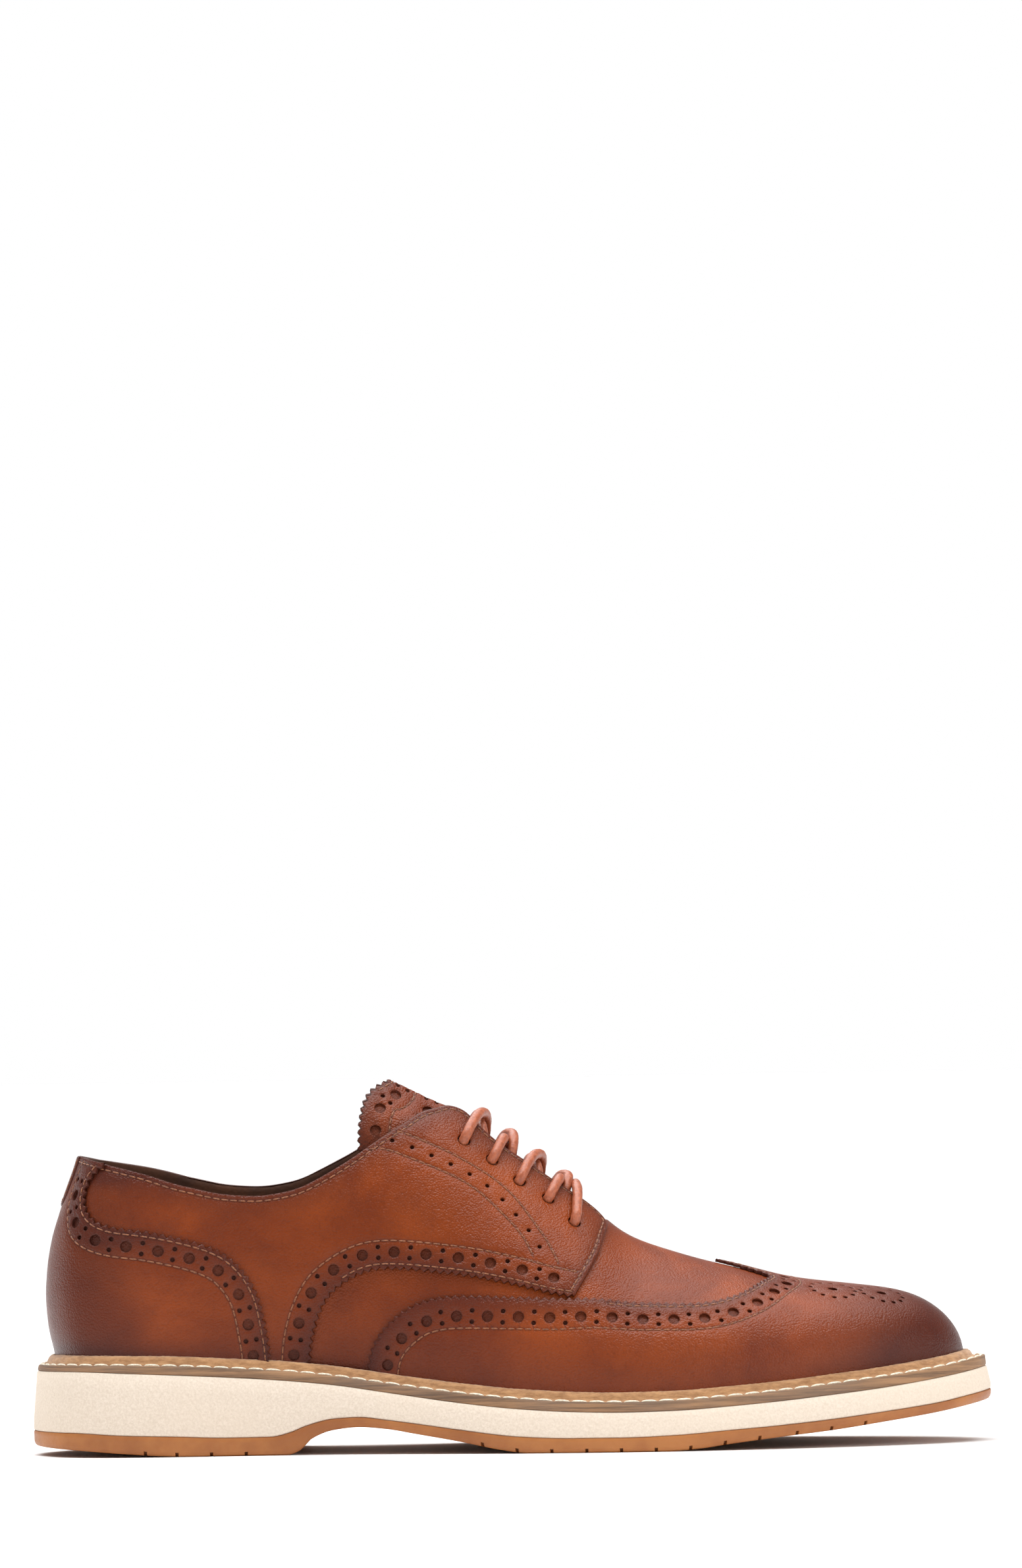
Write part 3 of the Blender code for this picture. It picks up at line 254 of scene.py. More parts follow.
def normal(side, k, t):
    k, t = np.broadcast_arrays(np.atleast_1d(np.asarray(k, float)), np.asarray(t, float))
    e = 2e-3
    kc, tc = np.clip(k, 0, 0.992), t
    dk = base(side, np.minimum(kc + e, 1), tc) - base(side, np.maximum(kc - e, 0), tc)
    dt = base(side, kc, np.minimum(tc + e, 1)) - base(side, kc, np.maximum(tc - e, 0))
    n = np.cross(dk, dt) * (1 if side == 0 else -1)
    centre = k < 1e-6
    n[centre, 1] = 0
    ridge = t > 1 - 1e-6
    n[ridge, 1] = 0
    n[..., 2] *= np.clip(t / 0.06, 0, 1)             # level at the welt, where every layer ends on the band
    return n / np.linalg.norm(n, axis=-1)[..., None]


def surf(side, k, t, off=0.0):
    return base(side, k, t) + normal(side, k, t) * (np.asarray(off) * np.ones(np.broadcast(k, t).shape))[..., None]


def k_at_x(side, x):
    return float(np.interp(x, FEATHER[side][:, 0], FK[side]))


TS = np.linspace(0, 1, 201)


def kt(side, x, z=None, y=None):
    """Surface parameters of the point seen from the side at (x, z), or on top at (x, |y|)."""
    x = float(x)
    k = k_at_x(side, max(x, HEEL_CENTRE_X))
    for _ in range(4):
        p = base(side, k, TS)
        if y is None:
            t = float(np.interp(float(z), p[:, 2], TS))
        else:
            t = float(np.interp(-float(y), -np.abs(p[60:, 1] - ridge_y(x)), TS[60:]))
        if x >= HEEL_CENTRE_X:
            break
        c = (HEEL_CENTRE_X - x) / (HEEL_CENTRE_X - back_x(np.interp(t, TS, p[:, 2])))
        k = k_at_x(side, HEEL_CENTRE_X - min(float(c), 1.0) * (HEEL_CENTRE_X - FEATHER[side][0, 0]))
    return k, t




# ------------------------------------------------------------------ charts: the upper laid flat, in mm
LENGTH = [float(np.linalg.norm(np.diff(s, axis=0), axis=1).sum()) for s in FEATHER]
KG, TG = np.linspace(0, 1, 601), np.linspace(0, 1, 161)
ARC, TINV = [], []
for _s in (0, 1):
    _k, _tt = np.meshgrid(KG, TG, indexing="ij")
    _p = base(_s, _k.ravel(), _tt.ravel()).reshape(len(KG), len(TG), 3)
    _d = np.linalg.norm(np.diff(_p, axis=1), axis=2)
    ARC.append(np.concatenate([np.zeros((len(KG), 1)), np.cumsum(_d, axis=1)], axis=1))
BG = np.linspace(0, max(a.max() for a in ARC), 481)
for _s in (0, 1):
    TINV.append(np.array([np.interp(BG, row, TG) for row in ARC[_s]]))
TOTAL = [a[:, -1] for a in ARC]
_rx = np.linspace(-118, TIP_X, 1200)
_rz2 = ridge_z(_rx)
RIDGE_X, RIDGE_A = _rx, np.concatenate([[0], np.cumsum(np.hypot(np.diff(_rx), np.diff(_rz2)))])


def bilinear(tab, fi, fj):
    i, j = np.clip(fi.astype(int), 0, tab.shape[0] - 2), np.clip(fj.astype(int), 0, tab.shape[1] - 2)
    u, v = fi - i, fj - j
    if tab.ndim == 3:
        u, v = u[:, None], v[:, None]
    return (tab[i, j] * (1 - u) + tab[i + 1, j] * u) * (1 - v) + (tab[i, j + 1] * (1 - u) + tab[i + 1, j + 1] * u) * v


def t_of(side, k, b):
    return np.clip(bilinear(TINV[side], np.clip(k, 0, 1) * (len(KG) - 1), np.clip(b, 0, BG[-1]) / BG[1]), 0, 1)


def arc_of(side, k, t):
    return bilinear(ARC[side], np.atleast_1d(np.clip(k, 0, 1)) * (len(KG) - 1), np.atleast_1d(t) * (len(TG) - 1))


class Wrap:
    """a: run round the welt from the back seam, lateral negative; b: up from the welt."""

    def at(self, side, k, t):
        k, t = np.atleast_1d(np.asarray(k, float)), np.atleast_1d(np.asarray(t, float))
        return np.stack([k * LENGTH[side] * (1 if side else -1), arc_of(side, k, t)], 1)

    def split(self, p):
        side = (p[:, 0] > 0).astype(int)
        k = np.abs(p[:, 0]) / np.where(side == 1, LENGTH[1], LENGTH[0])
        t = np.where(side == 1, t_of(1, k, p[:, 1]), t_of(0, k, p[:, 1]))
        return side, k, t

    def to3(self, p, off=0.0):
        p = np.asarray(p, float)
        side, k, t = self.split(p)
        off = np.asarray(off) * np.ones(len(p))
        out = np.empty((len(p), 3))
        for s in (0, 1):
            m = side == s
            if m.any():
                out[m] = surf(s, k[m], t[m], off[m])
        return out


class Top(Wrap):
    """a: along the ridge; b: out from the ridge, lateral negative."""

    def at(self, side, k, t):
        k, t = np.atleast_1d(np.asarray(k, float)), np.atleast_1d(np.asarray(t, float))
        x = np.interp(k, FK[side], FEATHER[side][:, 0])
        b = np.interp(k, KG, TOTAL[side]) - arc_of(side, k, t)
        return np.stack([np.interp(x, RIDGE_X, RIDGE_A), np.maximum(b, 0) * (1 if side else -1)], 1)

    def split(self, p):
        side = (p[:, 1] > 0).astype(int)
        x = np.interp(p[:, 0], RIDGE_A, RIDGE_X)
        ks = [np.interp(x, FEATHER[s][:, 0], FK[s]) for s in (0, 1)]
        k = np.where(side == 1, ks[1], ks[0])
        tt = [t_of(s, ks[s], np.interp(ks[s], KG, TOTAL[s]) - np.abs(p[:, 1])) for s in (0, 1)]
        return side, k, np.where(side == 1, tt[1], tt[0])


class TongueChart:
    """a: x along the throat; b: |y| out from the ridge, lateral negative. The tongue's own dished surface."""

    def __init__(self):
        self.xs, self.ys = np.linspace(-52, 40, 93), np.linspace(0, 32, 65)
        self.pos, self.nor = [], []
        for s in (0, 1):
            P, N = [], []
            for x in self.xs:
                k = k_at_x(s, x)
                q = base(s, k, TS)
                t = np.interp(-self.ys, -np.abs(q[60:, 1] - ridge_y(x)), TS[60:])
                P.append(base(s, np.full(len(t), k), t))
                N.append(normal(s, np.full(len(t), k), t))
            self.pos.append(np.array(P))
            self.nor.append(np.array(N))

    def to3(self, p, off=0.0):
        p = np.asarray(p, float)
        off = np.asarray(off) * np.ones(len(p))
        ay = np.abs(p[:, 1])
        fi = np.clip((p[:, 0] - self.xs[0]) / (self.xs[1] - self.xs[0]), 0, len(self.xs) - 1.001)
        fj = np.clip(ay / self.ys[1], 0, len(self.ys) - 1.001)
        out = np.empty((len(p), 3))
        dish = np.array([tongue_off(y, x) for y, x in zip(ay, p[:, 0])])
        for s in (0, 1):
            m = (p[:, 1] > 0) == bool(s)
            if m.any():
                n = bilinear(self.nor[s], fi[m], fj[m])
                out[m] = bilinear(self.pos[s], fi[m], fj[m]) + n * (off[m] + dish[m])[:, None]
        return out


def jac(chart, p, e=0.05):
    """3x2 derivative of the chart's surface at p."""
    p = np.atleast_2d(p)
    da = (chart.to3(p + [e, 0]) - chart.to3(p - [e, 0])) / (2 * e)
    db = (chart.to3(p + [0, e]) - chart.to3(p - [0, e])) / (2 * e)
    return np.stack([da, db], 2)


def curve(pts, step=0.5):
    """Smooth line through chart points."""
    p = np.asarray(pts, float)
    u = np.concatenate([[0], np.cumsum(np.linalg.norm(np.diff(p, axis=0), axis=1))])
    keep = np.concatenate([[True], np.diff(u) > 1e-6])
    p, u = p[keep], u[keep]
    f, _ = spline(np.column_stack([u, p]))
    return f(np.linspace(0, u[-1], max(3, int(u[-1] / step) + 1)))


def arcs(chart, p):
    q = chart.to3(p)
    return np.concatenate([[0], np.cumsum(np.linalg.norm(np.diff(q, axis=0), axis=1))])


def pick(p, u, s):
    return np.stack([np.interp(s, u, p[:, i]) for i in range(p.shape[1])], 1)


def stations(chart, p, pitch, whole=True):
    """Points on a line at an even true distance."""
    u = arcs(chart, p)
    n = max(2, int(round(u[-1] / pitch)) + 1)
    return pick(p, u, np.linspace(0, u[-1], n))


def beside(chart, p, dist):
    """The line moved sideways by a true distance, to the left of its direction if positive."""
    d = np.gradient(p, axis=0)
    J = jac(chart, p)
    G = np.einsum("nij,nik->njk", J, J)
    G[:, 0, 0] += 1e-6
    G[:, 1, 1] += 1e-6
    rot = np.stack([-d[:, 1], d[:, 0]], 1)
    n = np.linalg.solve(G, rot[:, :, None])[:, :, 0]
    ln = np.sqrt(np.maximum(np.einsum("ni,ni->n", n, rot), 1e-12))
    return p + n / ln[:, None] * (np.asarray(dist) * np.ones(len(p)))[:, None]


def pinked(chart, p, pitch=2.6, amp=1.2):
    """Saw-toothed line: even teeth to both sides of p."""
    u = arcs(chart, p)
    n = max(1, int(round(u[-1] / pitch)))
    s = np.linspace(0, u[-1], 4 * n + 1)
    q = pick(p, u, s)
    wave = np.tile([0.0, 0.5, 0.0, -0.5], n + 1)[:len(s)] * amp
    wave[0] = wave[-1] = 0
    return beside(chart, q, wave)


def ring_at(chart, c, r, n):
    """Closed ring of true radius r round chart point c."""
    J = jac(chart, np.array([c]))[0]
    e1 = J[:, 0] / np.linalg.norm(J[:, 0])
    e2 = J[:, 1] - e1 * (e1 @ J[:, 1])
    e2 /= np.linalg.norm(e2)
    M = np.linalg.inv(np.array([[e1 @ J[:, 0], e1 @ J[:, 1]], [e2 @ J[:, 0], e2 @ J[:, 1]]]))
    a = np.linspace(0, 2 * np.pi, n, endpoint=False)
    return np.asarray(c) + (M @ np.stack([np.cos(a), np.sin(a)]) * r).T


def inside(poly, q):
    """Even-odd test of points q in a polygon."""
    x, y = q[:, 0], q[:, 1]
    res = np.zeros(len(q), bool)
    x0, y0 = poly[:, 0], poly[:, 1]
    x1, y1 = np.roll(x0, -1), np.roll(y0, -1)
    for a, b, c, d in zip(x0, y0, x1, y1):
        if b == d:
            continue
        m = ((b > y) != (d > y)) & (x < (c - a) * (y - b) / (d - b) + a)
        res ^= m
    return res


def to_edge(loop, q):
    """Least distance from points q to a closed polyline (chart mm)."""
    tree = KDTree(len(loop))
    for i, v in enumerate(loop):
        tree.insert((v[0], v[1], 0), i)
    tree.balance()
    return np.array([tree.find((v[0], v[1], 0))[2] for v in q])


# ------------------------------------------------------------------ meshes
def to_world(p):
    q = np.array(p, float) * MM
    q[..., 1] += Y_SHIFT * MM
    return q


def make(name, verts, faces, mats, wear_and_painted_shade=None, slots=None, angle=38, smooth_all=False):
    """Mesh object from mm vertices in the shoe's frame."""
    me = bpy.data.meshes.new(name)
    me.from_pydata(to_world(verts).tolist(), [], [tuple(int(i) for i in f) for f in faces])
    me.validate()
    if wear_and_painted_shade is not None and len(me.vertices) == len(wear_and_painted_shade):
        at = me.attributes.new("wear_and_painted_shade", "FLOAT_COLOR", "POINT")
        at.data.foreach_set("color", np.column_stack([wear_and_painted_shade, np.ones(len(wear_and_painted_shade))]).astype(np.float32).ravel())
    for m in (mats if isinstance(mats, (list, tuple)) else [mats]):
        me.materials.append(m)
    if slots is not None and len(me.polygons) == len(slots):
        me.polygons.foreach_set("material_index", np.array(slots, np.int32))
    me.shade_smooth()
    if not smooth_all:
        me.set_sharp_from_angle(angle=math.radians(angle))
    me.update()
    ob = bpy.data.objects.new(name, me)
    bpy.context.scene.collection.objects.link(ob)
    return ob


def patch(name, chart, outline, holes, lines, off, thick, mats, spacing=2.3, burn=9.0, burn_line=None,
          rounding=0.28, droop=None, back=True):
    """A cut of leather: outline with its holes and stitch grooves, draped on the chart's surface and given thickness."""
    outline = np.asarray(outline, float)
    keep = np.concatenate([[True], np.linalg.norm(np.diff(outline, axis=0), axis=1) > 0.05])
    outline = outline[keep]
    if np.linalg.norm(outline[0] - outline[-1]) < 0.05:
        outline = outline[:-1]
    area = np.sum(outline[:, 0] * np.roll(outline[:, 1], -1) - np.roll(outline[:, 0], -1) * outline[:, 1])
    if area < 0:
        outline = outline[::-1]
    rings = [ring_at(chart, (h[0], h[1]), h[2], 12 if h[2] > 1.0 else 8) for h in holes]
    collars = [ring_at(chart, (h[0], h[1]), h[2] + 0.42, 12 if h[2] > 1.0 else 8) for h in holes]
    inset = beside(chart, np.vstack([outline[-1:], outline, outline[:1]]), 0.55)[1:-1]
    pts, dz, kind = [outline], [np.full(len(outline), -rounding)], [np.zeros(len(outline))]
    loops = [np.arange(len(outline))]
    n = len(outline)
    for r in rings:
        pts.append(r)
        dz.append(np.full(len(r), -0.2))
        kind.append(np.ones(len(r)))
        loops.append(np.arange(n, n + len(r)))
        n += len(r)
    bound = np.vstack(pts)
    extra, ez, ek = [], [], []
    for c in collars:
        extra.append(c), ez.append(np.zeros(len(c))), ek.append(np.full(len(c), 3))
    extra.append(inset), ez.append(np.zeros(len(inset))), ek.append(np.full(len(inset), 3))
    for ln in lines:
        s = stations(chart, ln, 1.45)
        for d, z, k in ((0.0, -0.24, 2), (0.75, 0.0, 3), (-0.75, 0.0, 3)):
            q = beside(chart, s, d) if d else s
            extra.append(q), ez.append(np.full(len(q), z)), ek.append(np.full(len(q), k))
    lo, hi = outline.min(0), outline.max(0)
    gx, gy = np.meshgrid(np.arange(lo[0], hi[0], spacing), np.arange(lo[1], hi[1], spacing * 0.866), indexing="ij")
    gx = gx + (np.arange(gx.shape[1]) % 2)[None, :] * spacing / 2
    g = np.stack([gx.ravel(), gy.ravel()], 1)
    g = g[inside(outline, g)]
    # points in order of importance; crowding ones go
    order = sorted(range(len(extra)), key=lambda i: -float(ek[i][0] == 2))
    cand = np.vstack([extra[i] for i in order])
    cz = np.concatenate([ez[i] for i in order])
    ck = np.concatenate([ek[i] for i in order])
    m = inside(outline, cand)
    cand, cz, ck = cand[m], cz[m], ck[m]
    m = to_edge(bound, cand) > 0.32
    for h, r in zip(holes, rings):
        m &= ~inside(r, cand)
    cand, cz, ck = cand[m], cz[m], ck[m]
    taken, cell = [], {}
    for i, p in enumerate(cand):
        key = (int(math.floor(p[0] / 0.45)), int(math.floor(p[1] / 0.45)))
        if all((cand[q][0] - p[0]) ** 2 + (cand[q][1] - p[1]) ** 2 > 0.16
               for a in (-1, 0, 1) for b in (-1, 0, 1) for q in cell.get((key[0] + a, key[1] + b), ())):
            cell.setdefault(key, []).append(i)
            taken.append(i)
    cand, cz, ck = cand[taken], cz[taken], ck[taken]
    near = np.vstack([bound, cand])
    g = g[to_edge(near, g) > spacing * 0.55]
    for r in rings:
        g = g[~inside(r, g)]
    P = np.vstack([bound, cand, g])
    Z = np.concatenate([np.concatenate(dz), cz, np.zeros(len(g))])
    K = np.concatenate([np.concatenate(kind), ck, np.full(len(g), 3)])
    edges = [(int(a), int(b)) for lp in loops for a, b in zip(lp, np.roll(lp, -1))]
    res = delaunay_2d_cdt([Vector((float(a), float(b))) for a, b in P], edges, [], 1, 1e-5)
    co, tris, orig = res[0], res[2], res[3]
    back_to = [(o[0] if len(o) else -1) for o in orig]
    ring_id = np.full(len(P), -1)
    for i, lp in enumerate(loops[1:]):
        ring_id[lp] = i
    if any(b < 0 for b in back_to) or len(co) != len(P):
        new = np.array([[c[0], c[1]] for c in co])
        Z = np.array([Z[b] if b >= 0 else -rounding for b in back_to])
        K = np.array([K[b] if b >= 0 else 0 for b in back_to])
        ring_id = np.array([ring_id[b] if b >= 0 else -1 for b in back_to])
        where = {}
        for i, b in enumerate(back_to):
            for o in orig[i]:
                where[o] = i
        loops = [np.array([where[i] for i in lp if i in where]) for lp in loops]
        P = new
    else:
        where = np.empty(len(P), int)
        for i, b in enumerate(back_to):
            where[b] = i
        tris = [[back_to[i] for i in t] for t in tris]
    faces = []
    for t in tris:
        if ring_id[t[0]] >= 0 and ring_id[t[0]] == ring_id[t[1]] == ring_id[t[2]]:
            continue
        faces.append(tuple(t))
    used = np.zeros(len(P), bool)
    for f in faces:
        used[list(f)] = True
    # burnishing fades in from the cut edge
    line_for_burn = outline if burn_line is None else burn_line
    dist = to_edge(line_for_burn, P)
    wear_and_painted_shade = np.zeros((len(P), 3))
    wear_and_painted_shade[:, 0] = np.clip(1 - dist / burn, 0, 1) ** 1.3
    # second channel: dark colour of the cut edges and their walls, and painted shade on the rims of the punched holes
    wear_and_painted_shade[:, 1] = np.where(K == 0, 0.45, np.where(K == 1, 0.55, 0.0))
    wear_and_painted_shade[:, 2] = np.where(K == 2, 1.0, 0.0)
    offs = off + Z
    if droop is not None:
        offs = offs + droop(P)
    top = chart.to3(P, offs)
    verts, allw = [top], [wear_and_painted_shade]
    count = len(P)
    # walls down to the flesh side
    for li, lp in enumerate(loops):
        if len(lp) < 3:
            continue
        low = chart.to3(P[lp], offs[lp] - (thick - rounding if li == 0 else thick * 0.9))
        verts.append(low)
        w = wear_and_painted_shade[lp].copy()
        w[:, 1] = 1.0
        allw.append(w)
        m = len(lp)
        for i in range(m):
            j = (i + 1) % m
            a, b, c, d = lp[i], lp[j], count + j, count + i
            faces.append((b, a, d, c) if True else (a, b, c, d))
        count += m
    # the lining leather seen at the bottom of each punch, coloured darker as painted shade in the hole
    for h, r in zip(holes, rings):
        if h[2] > 2.0:
            continue
        m = len(r)
        low = chart.to3(np.vstack([np.asarray(h[:2])[None], h[:2] + (r - h[:2]) * 1.12]), off - thick + 0.06)
        verts.append(low)
        allw.append(np.tile([0.3, 0.60 if h[2] > 1.0 else 1.0, 0.0], (m + 1, 1)))
        for i in range(m):
            faces.append((count, count + 1 + i, count + 1 + (i + 1) % m))
        count += m + 1
    V = np.vstack(verts)
    W = np.vstack(allw)
    # orientation: top faces must look along the chart's outward normal
    f0 = faces[0]
    n = np.cross(V[f0[1]] - V[f0[0]], V[f0[2]] - V[f0[0]])
    up = chart.to3(P[[f0[0]]], 1.0)[0] - chart.to3(P[[f0[0]]], 0.0)[0]
    if n @ up < 0:
        faces = [f[::-1] for f in faces]
    keepv = np.zeros(len(V), bool)
    for f in faces:
        keepv[list(f)] = True
    idx = np.cumsum(keepv) - 1
    faces = [tuple(idx[list(f)]) for f in faces]
    ob = make(name, V[keepv], faces, mats, W[keepv])
    bm = bmesh.new()
    bm.from_mesh(ob.data)
    bmesh.ops.recalc_face_normals(bm, faces=bm.faces)
    bm.faces.ensure_lookup_table()
    f = max(bm.faces, key=lambda q: q.calc_area())
    bm.to_mesh(ob.data)
    bm.free()
    return ob


def clipped(outline, ln, margin=0.7):
    """The longest stretch of a line that lies inside an outline by a margin."""
    ok = inside(outline, ln) & (to_edge(outline, ln) > margin)
    best, i = (0, 0), 0
    while i < len(ok):
        if ok[i]:
            j = i
            while j < len(ok) and ok[j]:
                j += 1
            if j - i > best[1] - best[0]:
                best = (i, j)
            i = j
        else:
            i += 1
    return ln[best[0]:best[1]] if best[1] - best[0] > 6 else ln[:0]


def tidy(outline, lines, holes):
    ls = [q for q in (clipped(outline, np.asarray(l)) for l in lines) if len(q)]
    hs = []
    for h in holes:
        c = np.array([[h[0], h[1]]])
        if inside(outline, c)[0] and to_edge(outline, c)[0] > h[2] + 0.7 and all(
                math.hypot(h[0] - g[0], h[1] - g[1]) > h[2] + g[2] + 0.6 for g in hs):
            hs.append(h)
    return ls, hs


THREAD_SHAPE = ((-1.0, -0.30, 0.45), (-0.8, -0.02, 0.85), (-0.35, 0.16, 1.0), (0.35, 0.16, 1.0), (0.8, -0.02, 0.85), (1.0, -0.30, 0.45))


def stitching(name, runs, mat, sides=6):
    """Lockstitch rows: runs are (chart, line, offset, pitch, length, radius)."""
    V, F = [], []
    count = 0
    for chart, ln, off, pitch, length, rad in runs:
        u = arcs(chart, ln)
        n = max(1, int(round(u[-1] / pitch)))
        centres = (np.arange(n) + 0.5) * u[-1] / n
        seg = []
        for a, lift, r in THREAD_SHAPE:
            q = pick(ln, u, np.clip(centres + a * length / 2, 0, u[-1]))
            seg.append(chart.to3(q, off + lift * rad * 2))
        up = chart.to3(pick(ln, u, centres), off + 1.0) - chart.to3(pick(ln, u, centres), off)
        seg = np.array(seg)                                   # ring, stitch, xyz
        tan = seg[-1] - seg[0]
        ln_t = np.linalg.norm(tan, axis=1)
        ok = ln_t > length * 0.4
        seg, up, tan = seg[:, ok], up[ok], tan[ok] / ln_t[ok][:, None]
        sidev = np.cross(tan, up)
        sidev /= np.linalg.norm(sidev, axis=1)[:, None]
        upv = np.cross(sidev, tan)
        m = seg.shape[1]
        ang = np.linspace(0, 2 * np.pi, sides, endpoint=False)
        rings = []
        for i, (a, lift, r) in enumerate(THREAD_SHAPE):
            rings.append(seg[i][:, None, :] + rad * r * (np.cos(ang)[None, :, None] * sidev[:, None, :]
                                                        + np.sin(ang)[None, :, None] * upv[:, None, :]))
        R = np.array(rings)                                   # ring, stitch, side, xyz
        R = R.transpose(1, 0, 2, 3).reshape(-1, 3)
        per = len(THREAD_SHAPE) * sides
        for s in range(m):
            o = count + s * per
            for i in range(len(THREAD_SHAPE) - 1):
                for j in range(sides):
                    k = (j + 1) % sides
                    F.append((o + i * sides + j, o + i * sides + k, o + (i + 1) * sides + k, o + (i + 1) * sides + j))
            F.append(tuple(o + j for j in range(sides))[::-1])
            F.append(tuple(o + (len(THREAD_SHAPE) - 1) * sides + j for j in range(sides)))
        V.append(R)
        count += len(R)
    ob = make(name, np.vstack(V), F, mat, smooth_all=True)
    return ob


# ------------------------------------------------------------------ materials
def lin(r, g, b):
    f = lambda c: (c / 255 / 12.92) if c / 255 <= 0.04045 else ((c / 255 + 0.055) / 1.055) ** 2.4
    return (f(r), f(g), f(b), 1.0)


class Shade:
    """Small helper that wires one procedural material."""

    def __init__(self, name, rough=0.5, slot_name=None):
        self.m = bpy.data.materials.new(name)
        self.m.use_nodes = True
        self.t = self.m.node_tree
        self.b = self.t.nodes["Principled BSDF"]
        self.b.inputs["Roughness"].default_value = rough
        self.geo = self.t.nodes.new("ShaderNodeTexCoord").outputs["Object"]

    def n(self, kind, **v):
        nd = self.t.nodes.new(kind)
        for k, x in v.items():
            if k in nd.inputs:
                nd.inputs[k].default_value = x
            else:
                setattr(nd, k, x)
        return nd

    def put(self, a, b):
        self.t.links.new(a, b)
        return b

    def noise(self, scale, detail=3.0, rough=0.5, vec=None, distort=0.0):
        nd = self.n("ShaderNodeTexNoise", Scale=scale, Detail=detail, Roughness=rough, Distortion=distort)
        self.put(vec or self.geo, nd.inputs["Vector"])
        return nd.outputs["Fac"]

    def voronoi(self, scale, vec=None, feature="F1", smooth=None):
        nd = self.n("ShaderNodeTexVoronoi", feature=feature)
        nd.inputs["Scale"].default_value = scale
        if smooth is not None and "Smoothness" in nd.inputs:
            nd.inputs["Smoothness"].default_value = smooth
        self.put(vec or self.geo, nd.inputs["Vector"])
        return nd.outputs["Distance"]

    def stretch(self, sx, sy, sz):
        nd = self.n("ShaderNodeMapping")
        nd.inputs["Scale"].default_value = (sx, sy, sz)
        self.put(self.geo, nd.inputs["Vector"])
        return nd.outputs["Vector"]

    def remap(self, x, a, b, c=0.0, d=1.0, smooth_step=True):
        nd = self.n("ShaderNodeMapRange")
        nd.interpolation_type = "SMOOTHSTEP" if smooth_step else "LINEAR"
        for i, v in enumerate((a, b, c, d)):
            nd.inputs[i + 1].default_value = v
        self.put(x, nd.inputs[0])
        return nd.outputs[0]

    def math(self, op, a, b=None, clamp=False):
        nd = self.n("ShaderNodeMath", operation=op, use_clamp=clamp)
        for i, v in enumerate((a, b)):
            if v is None:
                continue
            if isinstance(v, (int, float)):
                nd.inputs[i].default_value = v
            else:
                self.put(v, nd.inputs[i])
        return nd.outputs[0]

    def mix(self, fac, a, b):
        nd = self.n("ShaderNodeMix", data_type="RGBA")
        for sock, v in ((nd.inputs[0], fac), (nd.inputs[6], a), (nd.inputs[7], b)):
            if isinstance(v, (int, float, tuple)):
                sock.default_value = v
            else:
                self.put(v, sock)
        return nd.outputs[2]

    def wear_and_painted_shade(self):
        at = self.n("ShaderNodeAttribute", attribute_name="wear_and_painted_shade")
        sp = self.n("ShaderNodeSeparateColor")
        self.put(at.outputs["Color"], sp.inputs[0])
        return sp.outputs[0], sp.outputs[1], sp.outputs[2]

    def xyz(self):
        sp = self.n("ShaderNodeSeparateXYZ")
        self.put(self.geo, sp.inputs[0])
        return sp.outputs

    def bump(self, height, dist, strength=1.0, prev=None):
        nd = self.n("ShaderNodeBump")
        nd.inputs["Strength"].default_value = strength
        nd.inputs["Distance"].default_value = dist
        self.put(height, nd.inputs["Height"])
        if prev is not None:
            self.put(prev, nd.inputs["Normal"])
        return nd.outputs["Normal"]

    def done(self, color=None, rough=None, normal=None, **principled):
        if color is not None:
            if isinstance(color, tuple):
                self.b.inputs["Base Color"].default_value = color
            else:
                self.put(color, self.b.inputs["Base Color"])
        if rough is not None:
            if isinstance(rough, (int, float)):
                self.b.inputs["Roughness"].default_value = rough
            else:
                self.put(rough, self.b.inputs["Roughness"])
        if normal is not None:
            self.put(normal, self.b.inputs["Normal"])
        for k, v in principled.items():
            self.b.inputs[k.replace("_", " ")].default_value = v
        return self.m


